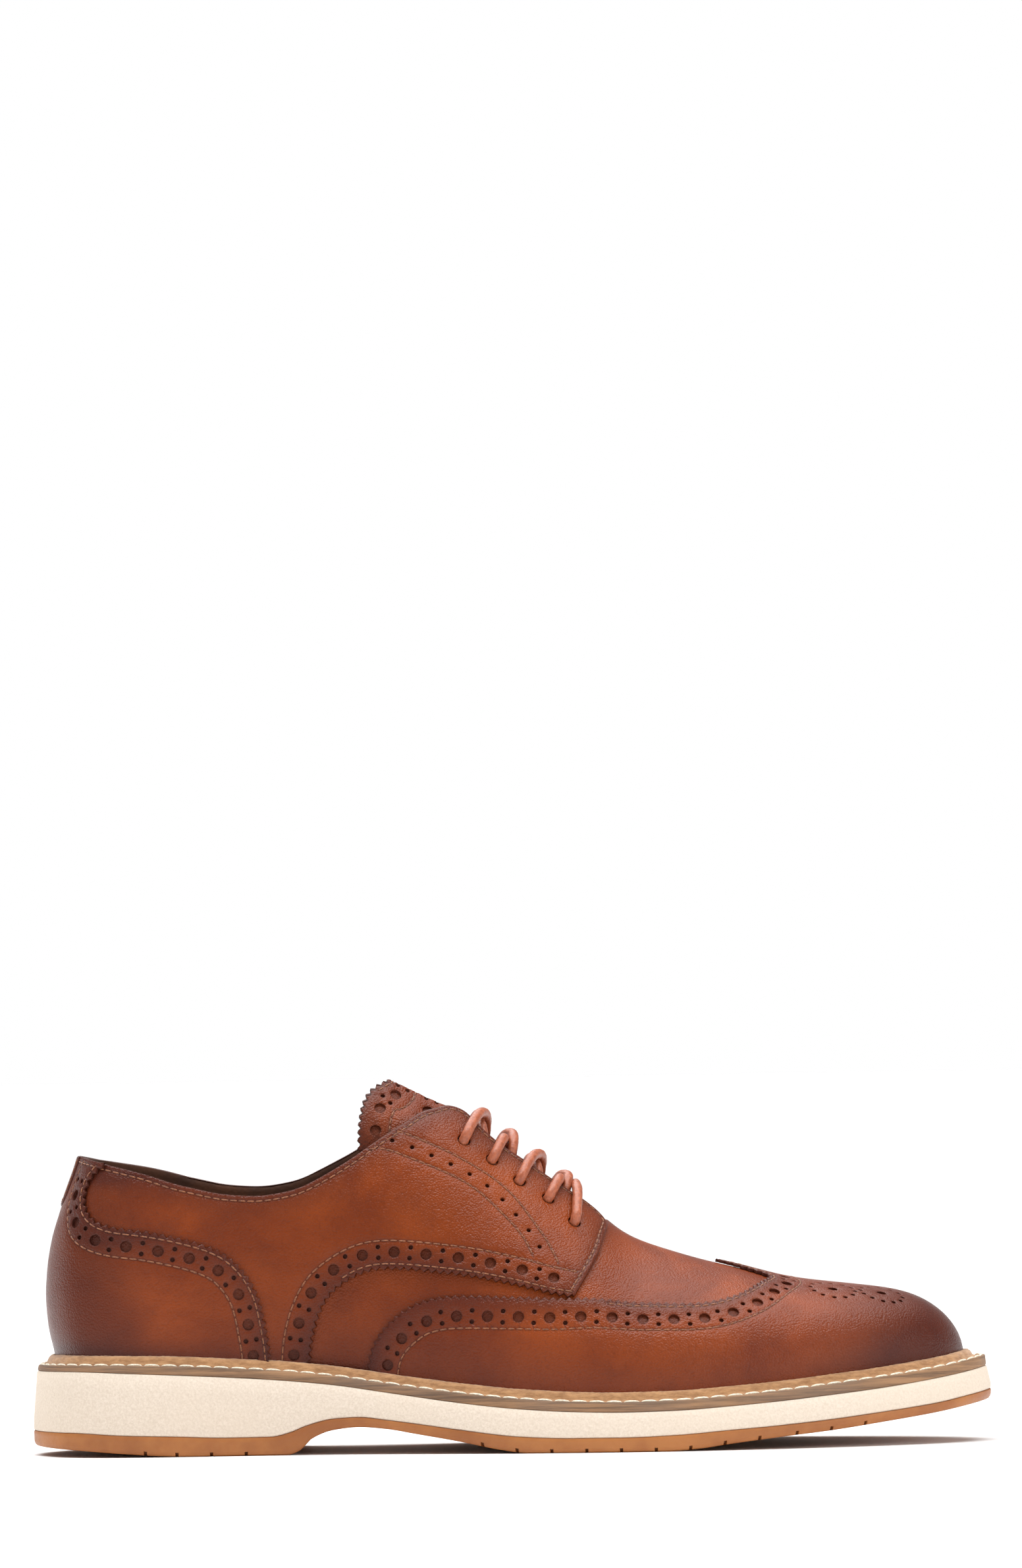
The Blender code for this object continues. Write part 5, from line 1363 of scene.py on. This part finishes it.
# heel foxing with its back strap, and the small tab on its top
fox_edge = {}
FOX_LINE = [(-127.6, 92.7), (-130.8, 89.9), (-132.9, 87.0), (-134.3, 82.7), (-134.2, 78.2)] + [(-131.9, 74.6), (-126.3, 72.3), (-118.3, 71.2), (-108.6, 69.4),
            (-99.0, 66.8), (-91.0, 63.1), (-84.7, 56.9), (-80.8, 49.6), (-78.9, 41.5), (-77.8, 35.0)]
for side in (0, 1):
    e = np.vstack([on(W, side, FOX_LINE), welt_run(W, side, -77.2, -77.2, 1)])
    fox_edge[side] = curve(e)
top_heel = []
for side in (0, 1):
    ke = abs(fox_edge[side][0][0]) / LENGTH[side]
    top_heel.append(np.vstack([W.at(side, k, heel_top(side, k, 0.0)) for k in np.linspace(ke, 0.0, 10)]))
outline = np.vstack([pinked(W, fox_edge[0]), welt_run(W, 0, -77.8, -142.9, 50), W.at(0, 0.0, 0.0), welt_run(W, 1, -142.9, -77.8, 50),
                     pinked(W, fox_edge[1])[::-1], top_heel[1][1:-1], top_heel[0][::-1][:-1]])
lines, holes = [], []
for side in (0, 1):
    sg = -1 if side else 1
    e = fox_edge[side]
    c = beside(W, e, sg * 5.1)
    holes += brogue(W, c, 9.9, 1.72, start=2.6, first=0.45)
    lines += [beside(W, e, sg * 1.35), beside(W, e, sg * 8.75)]
th = np.vstack([top_heel[0], top_heel[1][::-1][1:]])
lines.append(beside(W, curve(th, 0.6), -1.75))
lines, holes = tidy(outline, lines, holes)
ob = patch("heel_foxing", W, outline, holes, lines, 2.80, 1.15, CALF, burn=10.0)
rides(ob, "rear", "burnished_leather", "heel_foxing")
runs_body["rear"] += [(W, l, 2.60, 2.75, 2.35, 0.24) for l in lines]

tab_edge = []
for side in (0, 1):
    kh = k_at_x(side, HEEL_CENTRE_X)
    prof = [(0.0, 78.6), (0.05, 79.2), (0.10, 81.6), (0.125, 85.0), (0.13, 89.0)]
    pts = [W.at(side, kh * f, heel_t(side, kh * f, z))[0] for f, z in prof]
    pts.append(W.at(side, kh * 0.135, heel_top(side, kh * 0.135, -0.2))[0])
    tab_edge.append(curve(np.array(pts), 0.7))
tab_top = np.vstack([W.at(0, k, heel_top(0, k, -0.2)) for k in np.linspace(0.135 * k_at_x(0, HEEL_CENTRE_X), 0, 5)] +
                    [W.at(1, k, heel_top(1, k, -0.2)) for k in np.linspace(0, 0.135 * k_at_x(1, HEEL_CENTRE_X), 5)[1:]])
outline = np.vstack([tab_edge[0], tab_top[1:-1], tab_edge[1][::-1][:-1]])
u_line = np.vstack([tab_edge[0][::-1], tab_edge[1][1:]])
lines = [beside(W, u_line, 1.3)]
if not inside(outline, lines[0][[len(lines[0]) // 2]])[0]:
    lines = [beside(W, u_line, -1.3)]
lines, _ = tidy(outline, lines, [])
ob = patch("back_tab", W, outline, [], lines, 3.25, 0.5, CALF, spacing=1.8, burn=3.0)
rides(ob, "rear", "burnished_leather", "back_tab")
runs_body["rear"] += [(W, l, 3.12, 2.75, 2.35, 0.24) for l in lines]

# quarter linings: skived up to the topline, falling away from it below
def shell_grid(name, outer, inner_g, mats, wear_and_painted_shade=None, angle=60):
    """Closed sheet between two grids of points [i][j]."""
    a, b = np.array(outer), np.array(inner_g)
    ni, nj = a.shape[:2]
    V = np.vstack([a.reshape(-1, 3), b.reshape(-1, 3)])
    o = ni * nj
    F = []
    for i in range(ni - 1):
        for j in range(nj - 1):
            q = (i * nj + j, (i + 1) * nj + j, (i + 1) * nj + j + 1, i * nj + j + 1)
            F.append(q)
            F.append(tuple(o + v for v in q[::-1]))
    for i in range(ni - 1):
        for j in (0, nj - 1):
            p, q = i * nj + j, (i + 1) * nj + j
            F.append((p, q, o + q, o + p))
    for j in range(nj - 1):
        for i in (0, ni - 1):
            p, q = i * nj + j, i * nj + j + 1
            F.append((p, q, o + q, o + p))
    ob = make(name, V, F, mats, np.zeros((len(V), 3)) if wear_and_painted_shade is None else wear_and_painted_shade, angle=angle)
    bm = bmesh.new()
    bm.from_mesh(ob.data)
    bmesh.ops.remove_doubles(bm, verts=bm.verts, dist=0.00001)
    bmesh.ops.recalc_face_normals(bm, faces=bm.faces)
    bm.to_mesh(ob.data)
    bm.free()
    return ob


for side, nm in ((0, "lateral"), (1, "medial")):
    kh = k_at_x(side, HEEL_CENTRE_X)
    cols = [(k, heel_top(side, k, side * rise(base(side, k, 0.8)[0][0]))) for k in np.linspace(SEAM_K, kh * 0.97, 22)]
    for x in list(np.arange(-104, -28, 3.0)) + [-27, -24.5, -22, -18, -14, -10, -6, -1, 3, 8, 12, 16, 19.5]:
        zt = float(top_z(x)) + float(lift(x)) - 0.35 + side * rise(x) if x <= -26 else float(
            np.interp(x, [-26, -24.5, -22, -14, -6, 3, 12, 20], [106.6, 99, 88, 81, 75, 69, 63, 57]))
        cols.append((k_at_x(side, x), kt(side, x, z=zt)[1]))
    out, inn = [], []
    for k, t1 in cols:
        b1 = float(arc_of(side, k, t1)[0])
        d = np.array([0.0, 0.5, 1.2, 2.2, 3.6, 5.5, 8, 11, 15, 20, 26, 33, 41, 50, 60, 72, 86, 100])
        d = d[d < b1 - 1.0]
        d = np.concatenate([d, np.full(18 - len(d), 0.0)])
        d[len(d[d >= 0]) - 1] = d[-1]
        frac = np.concatenate([[0, .006, .014, .026, .042, .064, .093, .128, .175, .233, .30, .38, .47, .58, .70, .84, 1.0]])
        b = b1 * (1 - frac)
        t = t_of(side, np.full(len(b), k), b)
        t[0] = t1
        dd = b1 - b
        s = np.clip(dd / 9.0, 0, 1)
        so = -0.05 - 2.85 * s * s * (3 - 2 * s)
        so[0], so[1] = 0.15, 0.05
        th_ = np.interp(dd, [0, 0.6, 1.5], [0.25, 0.6, 0.8])
        out.append(surf(side, np.full(len(b), k), t, so))
        inn.append(surf(side, np.full(len(b), k), t, so - th_))
    ob = shell_grid("quarter_lining_" + nm, out, inn, LININGM)
    rides(ob, "rear", "lining_leather", "quarter_lining_" + nm)

# vamp, closed over the ridge ahead of the throat
VH = [(-75.5, 33.0), (-72, 48), (-66, 57), (-58, 63.5), (-44, 67.8), (-29, 67.8), (-13, 66), (3, 63), (14, 60), (20, 60), (24, 63.5), (27, 69), (29, 71.8)]
hi = {s: curve(np.vstack([welt_run(T, s, -75.5, -75.5, 1), on(T, s, VH), T.at(s, k_at_x(s, 31.2), 1.0)]), 1.2) for s in (0, 1)}
tip = np.array([[RIDGE_A[-1], 0.0]])
xs_f = np.concatenate([np.linspace(-75.5, 110, 90), TIP_X - (TIP_X - 110) * (1 - np.linspace(0, 1, 40)[1:-1]) ** 2])
fl = {s: T.at(s, np.interp(xs_f, FEATHER[s][:, 0], FK[s]), np.zeros(len(xs_f))) for s in (0, 1)}
outline = np.vstack([fl[0], tip, fl[1][::-1], hi[1][1:-1], hi[0][::-1][:-1]])
ob = patch("vamp", T, outline, [], [], 0.0, 1.25, CALF, spacing=2.5, burn=8.0)
rides(ob, "flex", "cognac_leather", "vamp")

# wingtip, pinked and perforated, with the medallion
we = {}
for s in (0, 1):
    e = np.vstack([welt_run(T, s, -46.2, -46.2, 1), on(T, s, WING_EDGE[1:]), on(T, s, [p for p in WING_PEAK if p[1] > 0], "y")])
    we[s] = e
ridge_pt = T.at(0, k_at_x(0, WING_PEAK[-1][0]), 1.0)
ridge_pt[0, 1] = 0.0
lat_c, med_c = curve(np.vstack([we[0], ridge_pt])), curve(np.vstack([we[1], ridge_pt]))
wing_edge = np.vstack([lat_c, med_c[::-1][1:]])
xs_w = np.concatenate([np.linspace(-46.0, 110, 80), TIP_X - (TIP_X - 110) * (1 - np.linspace(0, 1, 40)[1:-1]) ** 2])
wl = {s: T.at(s, np.interp(xs_w, FEATHER[s][:, 0], FK[s]), np.zeros(len(xs_w))) for s in (0, 1)}
outline = np.vstack([pinked(T, lat_c), pinked(T, med_c)[::-1][1:], wl[1], tip, wl[0][::-1][:-1]])
holes, lines = [], []
for c0, sg in ((lat_c, -1), (med_c, 1)):
    full = arcs(T, c0)[-1]
    c = beside(T, c0, sg * 6.2)
    u = arcs(T, c)
    m = np.abs(c[:, 1]) > 3.2
    stop = u[m][-1] if m.any() else u[-1]
    holes += brogue(T, c, 10.0, 1.8, start=2.4, stop=stop, first=0.45)
    for d in (1.35, 10.0):
        q = beside(T, c0, sg * d)
        q = q[(np.abs(q[:, 1]) > 0.6)] if d > 2 else q
        keep = (q[:, 1] * sg > 0.2)
        q = q[keep]
        if len(q) > 5:
            lines.append(q)
for s in (0, 1):
    sg = 1 if s else -1
    for cx, cy in ((102.8, 15.6), (118.4, 13.6)):
        k, t = kt(s, cx, y=cy)
        c = T.at(s, k, t)[0]
        holes.append((c[0], c[1], 1.55))
        for q in ring_at(T, c, 7.2 if cx < 110 else 6.8, 12):
            holes.append((q[0], q[1], SMALL))
# medallion: small holes that fall on each other are one
kept = []
for h in holes:
    if all(math.hypot(h[0] - g[0], h[1] - g[1]) > h[2] + g[2] + 0.75 for g in kept):
        kept.append(h)
lines, kept = tidy(outline, lines, kept)
ob = patch("wingtip", T, outline, kept, lines, 1.35, 1.15, WINGCALF, spacing=2.2, burn=9.0, burn_line=wing_edge)
rides(ob, "flex", "burnished_leather", "wingtip")
wing_runs = [(T, l, 1.15, 2.75, 2.35, 0.24) for l in lines]

# vamp lining
LXS = [20, 24, 28, 33, 38, 42, 44.0, 47, 50, 56, 62, 68, 76, 84, 92, 100, 108, 115, 121, 127, 132, 136, 139, 141.5, 143.2]
lh = lambda x: float(np.interp(x, [20, 30, 38, 42, 44], [50.0, 50.0, 51.0, 55.0, 60.0]))
for s, nm in ((0, "lateral"), (1, "medial")):
    pass
out, inn = [], []
for x in LXS:
    ro, ri = [], []
    for s in (0, 1):
        k = k_at_x(s, x)
        t1 = 1.0 if x >= 44.0 else kt(s, x, z=lh(x))[1]
        tt = np.linspace(0.02, t1, 12)
        a, b = surf(s, np.full(12, k), tt, -2.9), surf(s, np.full(12, k), tt, -3.7)
        ro.append(a if s == 0 else a[::-1])
        ri.append(b if s == 0 else b[::-1])
    out.append((ro, x))
    inn.append((ri, x))
closed = [(o, i) for (o, x), (i, _) in zip(out, inn) if x >= 44.0]
sheets = [([np.vstack([o[0], o[1][1:]]) for o, i in closed], [np.vstack([i[0], i[1][1:]]) for o, i in closed])]
for s in (0, 1):
    op = [(o[s], i[s]) for (o, x), (i, _) in zip(out, inn) if x <= 44.0]
    sheets.append(([a for a, b in op], [b for a, b in op]))
parts_ = [shell_grid("vl%d" % i, a, b, LININGM) for i, (a, b) in enumerate(sheets)]
bm = bmesh.new()
for p in parts_:
    bm.from_mesh(p.data)
me = bpy.data.meshes.new("vamp_lining_fine")
bmesh.ops.remove_doubles(bm, verts=bm.verts, dist=0.00002)
bm.to_mesh(me)
bm.free()
me.materials.append(LININGM)
for p in parts_:
    bpy.data.objects.remove(p, do_unlink=True)
ob = bpy.data.objects.new("vamp_lining_fine", me)
bpy.context.scene.collection.objects.link(ob)
rides(ob, "flex", "lining_leather", "vamp_lining")

rides(stitching("seams_rear", runs_body["rear"], THREAD), "rear", "lace_cotton")
rides(stitching("seams_wingtip", wing_runs, THREAD), "flex", "lace_cotton")


# ------------------------------------------------------------------ tongue
TONGUE_CROWN = line([(-48, -2.4), (-38, -2.1), (-32, -3.0), (-26, -3.6), (-20, -3.6), (-10, -2.9), (8, -2.2), (24, -2.6)])


def tongue_off(ay, x):
    crown = float(TONGUE_CROWN(x))
    deep = float(np.interp(x, [-24, -14], [1.2, 0.0]))
    return float(np.interp(ay, [0, 4.5, 8.5, 14, 17.5, 21, 25],
                           [crown, crown - 1.8, crown - 2.7, -4.5 - deep, -5.4 - deep, -7.4 - deep, -8.0 - deep]))


def tongue_half(side, x, trim):
    drop = float(np.interp(x, [-50, 0, 30, 44], [25.5, 21.0, 13.0, 8.5]))
    k, t = kt(side, x, z=ridge_z(x).item() - drop)
    return abs(base(side, k, t)[0][1] - float(ridge_y(x))) - trim


C = TongueChart()


def tongue_outline(xa, extra, trim, pink):
    rear = []
    for g in np.linspace(-1, 1, 61):
        s = 0 if g < 0 else 1
        x = -37.0 - 10.9 * math.sin(math.hypot(g, 0.06) / 1.002 * math.pi / 2) ** 1.0 + extra
        rear.append((x, g * tongue_half(s, x, trim)))
    rear = np.array(rear)
    sides = []
    for s in (1, 0):
        xe = -48.8 + extra
        xs = np.linspace(xe, xa, 16)[1:]
        sides.append(np.array([(x, (1 if s else -1) * tongue_half(s, x, trim)) for x in xs]))
    smooth_rear = curve(rear, 0.6)
    return np.vstack([pinked(C, smooth_rear) if pink else smooth_rear, sides[0], sides[1][::-1]]), smooth_rear


o_main, rear_main = tongue_outline(36.5, 1.4, 0.6, False)
ob = patch("tongue", C, o_main, [], [], 0.0, 1.5, CALF, spacing=2.4, burn=7.0)
rides(ob, "tongue", "cognac_leather", "tongue")
o_ov, rear_ov = tongue_outline(-8.0, 0.0, 0.8, True)
sgn = 1.0 if beside(C, rear_ov, 3.0)[len(rear_ov) // 2][0] > rear_ov[len(rear_ov) // 2][0] else -1.0
cc = beside(C, rear_ov, sgn * 5.2)
holes = []
for row, reach in ((cc, 3), (beside(C, rear_ov, sgn * 15.2), 2)):
    u = arcs(C, row)
    for i in range(reach):
        for d in (1, -1):
            holes += [(q[0], q[1], BIG) for q in pick(row, u, np.array([u[-1] / 2 + d * (4.0 + 8.0 * i)]))]
    for i in range(-reach, reach + 1):
        for w in (1.75, -1.75):
            b = beside(C, row, w)
            holes += [(q[0], q[1], SMALL) for q in pick(b, u, np.array([u[-1] / 2 + 8.0 * i]))]
lines = [beside(C, rear_ov, sgn * w) for w in (1.35, 9.6, 20.4)]
lines = [l[inside(o_ov, l)] for l in lines]
holes = [h for h in holes if inside(o_ov, np.array([[h[0], h[1]]]))[0] and to_edge(o_ov, np.array([[h[0], h[1]]]))[0] > h[2] + 0.5]
lines, holes = tidy(o_ov, lines, holes)
ob = patch("tongue_overlay", C, o_ov, holes, lines, 1.15, 1.1, WINGCALF, spacing=2.0, burn=9.0)
rides(ob, "tongue", "burnished_leather", "tongue_overlay")
rides(stitching("seams_tongue", [(C, l, 0.95, 2.75, 2.35, 0.24) for l in lines], THREAD), "tongue", "lace_cotton")
o_lin, _ = tongue_outline(34.0, 2.6, 1.6, False)
ob = patch("tongue_lining", C, o_lin, [], [], -1.6, 0.9, LININGM, spacing=3.0)
rides(ob, "tongue", "lining_leather", "tongue_lining")


# ------------------------------------------------------------------ lace
def over(side, hole, mid_x, f, off):
    hx, hz = LACE_HOLES[hole]
    k, t = kt(side, hx, z=hz - 1.3)
    y0 = abs(base(side, k, t)[0][1])
    x, y = hx + (mid_x - hx) * f, y0 * (1 - f)
    k, t = kt(side, x, y=y) if y > 0.05 else (k_at_x(side, x), 1.0)
    return surf(side, k, t, off)[0]


def hole_y(side, hole):
    k, t = kt(side, LACE_HOLES[hole][0], z=LACE_HOLES[hole][1] - 1.3)
    return abs(base(side, k, t)[0][1])


def cross(a_side, low_hole, high):
    b_side = 1 - a_side
    up_ = low_hole + 1
    mid = (LACE_HOLES[low_hole][0] + LACE_HOLES[up_][0]) / 2 + 1.5
    ya, yb = hole_y(a_side, low_hole), hole_y(b_side, up_)
    fa, fb = (lambda y: 1 - y / ya), (lambda y: 1 - y / yb)
    ea, eb = (float(edge_y(LACE_HOLES[i][0])) for i in (low_hole, up_))
    pts = [over(a_side, low_hole, mid, 1.0 / ya, -1.3), over(a_side, low_hole, mid, 4.2 / ya, -1.9),
           over(a_side, low_hole, mid, fa(ea), -1.75)]
    for y, o in ((ea - 2.5, 0.3 if high else -1.0), (ea - 5.5, 1.9 if high else -0.7)):
        pts.append(over(a_side, low_hole, mid, fa(y), o))
    pts.append(over(b_side, up_, mid, 1.0, 2.4 if high else -0.7))
    for y, o in ((eb - 5.5, 2.5 if high else 0.0), (eb - 2.0, 3.0 if high else 2.0), (eb + 0.8, 3.2)):
        pts.append(over(b_side, up_, mid, fb(y), o))
    pts += [over(b_side, up_, mid, 4.2 / yb, 3.25), over(b_side, up_, mid, 1.2 / yb, 2.9), over(b_side, up_, mid, 0.0, 1.3)]
    return pts


def lace_end(side):
    w = LINING_TOP - LINING_T - LACE_D / 2 - 0.7
    route = [(-15.2, 97.4, -1.5), (-17.0, 94.8, -2.3), (-19.0, 92.0, -3.6), (-21.6, 88.6, -5.5), (-25.5, 85.0, w), (-30.0, 77.5, w),
             (-33.4, 69.0, w), (-35.4, 60.0, w), (-35.2, 51.5, w), (-32.4, 44.0, w), (-27.0, 38.2, w),
             (-19.5, 34.6, w), (-11.0, 32.3, w), (-2.5, 30.4, w), (6.0, 29.1, w), (14.0, 28.3, w), (20.0, 27.8, w - 0.3)]
    return [surf(side, *kt(side, x, z=z), off)[0] for x, z, off in route]


legs = {}
for start in (0, 1):
    s, pts = start, []
    for row in range(4):
        to_lateral = (1 - s) == 0
        high = to_lateral if row in (1, 3) else not to_lateral
        pts += cross(s, row, high)
        s = 1 - s
    legs[start] = pts + lace_end(s)
bar = []
for side in (0, 1):
    y0 = hole_y(side, 0)
    bar.append([over(side, 0, LACE_HOLES[0][0], f, o) for f, o in ((0.0, 1.3), (1.2 / y0, 2.9), (4.2 / y0, 3.25), (1 - 8.8 / y0, 3.2), (1 - 4.5 / y0, 2.4))])
mid_pt = surf(0, k_at_x(0, LACE_HOLES[0][0]), 1.0, 1.9)[0]
lace_pts = np.array(legs[0][::-1] + bar[0] + [mid_pt] + bar[1][::-1] + legs[1])


def catmull(p, step):
    """Centripetal Catmull-Rom through points, resampled evenly."""
    p = np.asarray(p, float)
    e = np.vstack([2 * p[0] - p[1], p, 2 * p[-1] - p[-2]])
    out = []
    for i in range(len(p) - 1):
        a, b, c, d = e[i:i + 4]
        t1 = np.linalg.norm(b - a) ** 0.5
        t2 = t1 + np.linalg.norm(c - b) ** 0.5
        t3 = t2 + np.linalg.norm(d - c) ** 0.5
        t = np.linspace(t1, t2, 13)[:-1][:, None]
        A1 = (t1 - t) / t1 * a + t / t1 * b
        A2 = (t2 - t) / (t2 - t1) * b + (t - t1) / (t2 - t1) * c
        A3 = (t3 - t) / (t3 - t2) * c + (t - t2) / (t3 - t2) * d
        B1 = (t2 - t) / t2 * A1 + t / t2 * A2
        B2 = (t3 - t) / (t3 - t1) * A2 + (t - t1) / (t3 - t1) * A3
        out.append((t2 - t) / (t2 - t1) * B1 + (t - t1) / (t2 - t1) * B2)
    q = np.vstack(out + [p[-1:]])
    for _ in range(3):                                    # eases the corners of the route
        q[1:-1] = q[1:-1] * 0.5 + (q[:-2] + q[2:]) * 0.25
    d = np.concatenate([[0], np.cumsum(np.linalg.norm(np.diff(q, axis=0), axis=1))])
    n = int(d[-1] / step) + 1
    return np.stack([np.interp(np.linspace(0, d[-1], n), d, q[:, i]) for i in range(3)], 1), float(d[-1])


def braid(name, pts, dia, mats, sides=22, step=0.55):
    """Round braided cord: two sets of strands wound opposite ways."""
    q, length = catmull(pts, step)
    tan = np.gradient(q, axis=0)
    tan /= np.linalg.norm(tan, axis=1)[:, None]
    up_v = np.zeros_like(q)
    v = np.cross(tan[0], [0.3, 0.2, 1.0])
    for i in range(len(q)):
        v = v - tan[i] * (v @ tan[i])
        v = v / np.linalg.norm(v)
        up_v[i] = v
    sd = np.cross(tan, up_v)
    s = np.linspace(0, length, len(q))
    th = np.linspace(0, 2 * np.pi, sides, endpoint=False)
    A, B = np.meshgrid(s, th, indexing="ij")
    w1, w2 = np.cos(5 * B + 2 * np.pi * A / 4.4), np.cos(5 * B - 2 * np.pi * A / 4.4)
    weave = np.maximum(w1, w2)
    r = dia / 2 * (0.972 + 0.028 * weave)
    r *= np.clip(0.35 + s / 0.8, 0, 1)[:, None] * np.clip(0.35 + (length - s) / 0.8, 0, 1)[:, None]
    V = q[:, None, :] + r[:, :, None] * (np.cos(B)[:, :, None] * up_v[:, None, :] + np.sin(B)[:, :, None] * sd[:, None, :])
    n, m = len(q), sides
    F = [(i * m + j, i * m + (j + 1) % m, (i + 1) * m + (j + 1) % m, (i + 1) * m + j) for i in range(n - 1) for j in range(m)]
    F += [tuple(range(m))[::-1], tuple((n - 1) * m + j for j in range(m))]
    wear_and_painted_shade = np.zeros((n * m, 3))
    # first channel marks the valleys between the strands, darkened as painted shade in the lace material
    wear_and_painted_shade[:, 0] = np.clip(0.55 - weave.ravel(), 0, 1)
    return make(name, V.reshape(-1, 3), F, mats, wear_and_painted_shade, smooth_all=True), q, length


lace, lace_path, lace_len = braid("lace", lace_pts, LACE_D + 0.1, LACEM)
rides(lace, "rear", "lace_cotton", "lace")
print("lace length mm", round(lace_len, 1))

# aglets: film tubes with a crimped waist, a little over the lace's end
for side, pts in ((1, lace_pts[:2]), (0, lace_pts[-1:-3:-1])):
    end, d = np.array(pts[0]), np.array(pts[0]) - np.array(pts[1])
    d /= np.linalg.norm(d)
    prof = [(0.3, 0.92), (0.3, 1.0), (0.9, 1.0), (1.2, 0.95), (2.0, 0.94), (2.4, 0.99), (6, 0.97), (12, 0.93), (16.8, 0.86), (17.9, 0.72), (18.2, 0.45)]
    a = np.cross(d, [0, 0, 1.0])
    a /= np.linalg.norm(a)
    b = np.cross(d, a)
    m = 18
    th = np.linspace(0, 2 * np.pi, m, endpoint=False)
    V = np.vstack([end + d * z + (np.cos(th)[:, None] * a + np.sin(th)[:, None] * b) * AGLET_D / 2 * r for z, r in prof])
    F = [(i * m + j, i * m + (j + 1) % m, (i + 1) * m + (j + 1) % m, (i + 1) * m + j) for i in range(len(prof) - 1) for j in range(m)]
    F += [tuple(range(m))[::-1], tuple((len(prof) - 1) * m + j for j in range(m))]
    nm = "aglet_" + ("lateral" if (end + d * 9)[1] < 0 else "medial")
    rides(make(nm, V, F, AGLETM, angle=50), "rear", "aglet_film", nm)


# ------------------------------------------------------------------ stage, light, camera
def plane(name, size, z, m):
    me = bpy.data.meshes.new(name)
    n = 48
    a = np.linspace(0, 2 * np.pi, n, endpoint=False)
    me.from_pydata([(math.cos(t) * size, math.sin(t) * size, z) for t in a], [], [tuple(range(n))])
    me.materials.append(m)
    ob = bpy.data.objects.new(name, me)
    bpy.context.scene.collection.objects.link(ob)
    return ob


fs = Shade("pale_floor")
fc = fs.noise(3.0, 3.0, 0.5)
floor_m = fs.done(fs.mix(fs.remap(fc, 0.3, 0.7), (0.86, 0.86, 0.86, 1), (0.89, 0.89, 0.89, 1)), 0.62, Specular_IOR_Level=0.2)
plane("floor", 40.0, -0.00005, floor_m)


def area(name, loc, target, size, power, size_y=None, col=(1, 1, 1)):
    li = bpy.data.lights.new(name, "AREA")
    li.energy, li.size, li.color = power, size, col
    if size_y:
        li.shape, li.size_y = "RECTANGLE", size_y
    ob = bpy.data.objects.new(name, li)
    ob.location = loc
    ob.rotation_euler = (Vector(target) - Vector(loc)).to_track_quat("-Z", "Y").to_euler()
    bpy.context.scene.collection.objects.link(ob)
    return ob


area("key_top", (0.0, -0.20, 1.25), (0, 0, 0.05), 1.3, 9.0, 0.16)
area("fill_front", (-0.55, -1.6, 0.55), (0, 0, 0.05), 0.9, 0.7, 0.7)
area("side_toe", (1.1, -0.85, 0.60), (0.1, 0, 0.05), 0.6, 4.6)
area("back_rim", (-0.35, 0.95, 0.85), (0, 0, 0.06), 0.9, 4.0, 0.4)
sun = bpy.data.lights.new("sky_bank", "SUN")
sun.energy, sun.angle = 2.8, math.radians(75)
sun_o = bpy.data.objects.new("sky_bank", sun)
sun_o.rotation_euler = Vector((0.10, -0.16, -1.0)).to_track_quat("-Z", "Y").to_euler()
bpy.context.scene.collection.objects.link(sun_o)

world = bpy.data.worlds.new("studio")
world.use_nodes = True
wt = world.node_tree
bg = wt.nodes["Background"]
tc = wt.nodes.new("ShaderNodeTexCoord")
sp = wt.nodes.new("ShaderNodeSeparateXYZ")
wt.links.new(tc.outputs["Generated"], sp.inputs[0])
ramp = wt.nodes.new("ShaderNodeValToRGB")
els = ramp.color_ramp.elements
els[0].position, els[0].color = 0.0, (1, 1, 1, 1)
els[1].position, els[1].color = 0.13, (1, 1, 1, 1)
for pos, v in ((0.20, 0.30), (0.62, 0.26), (0.9, 0.5)):
    e = ramp.color_ramp.elements.new(pos)
    e.color = (v, v, v, 1)
wt.links.new(sp.outputs[2], ramp.inputs[0])
wt.links.new(ramp.outputs[0], bg.inputs["Color"])
bg.inputs["Strength"].default_value = 1.0
bpy.context.scene.world = world
bpy.context.scene.view_settings.view_transform = "Standard"
bpy.context.scene.view_settings.look = "None"

cam_d = bpy.data.cameras.new("camera")
cam = bpy.data.objects.new("camera", cam_d)
bpy.context.scene.collection.objects.link(cam)
cam_d.sensor_width, cam_d.sensor_fit, cam_d.lens = 36.0, "AUTO", 213.9
cam_d.clip_start, cam_d.clip_end = 0.05, 100
EL, ROLL, DIST = math.radians(1.5), math.radians(-0.9), 3.0
target = Vector((0, 0, 0.049))
cam.location = target + Vector((0, -math.cos(EL), math.sin(EL))) * DIST
aim = target + Vector((0.0024, 0, 0.1641))                     # the shoe stands low in the frame
q = (aim - cam.location).to_track_quat("-Z", "Y")
cam.rotation_mode = "QUATERNION"
cam.rotation_quaternion = q @ Matrix.Rotation(ROLL, 4, "Z").to_quaternion()
bpy.context.scene.camera = cam
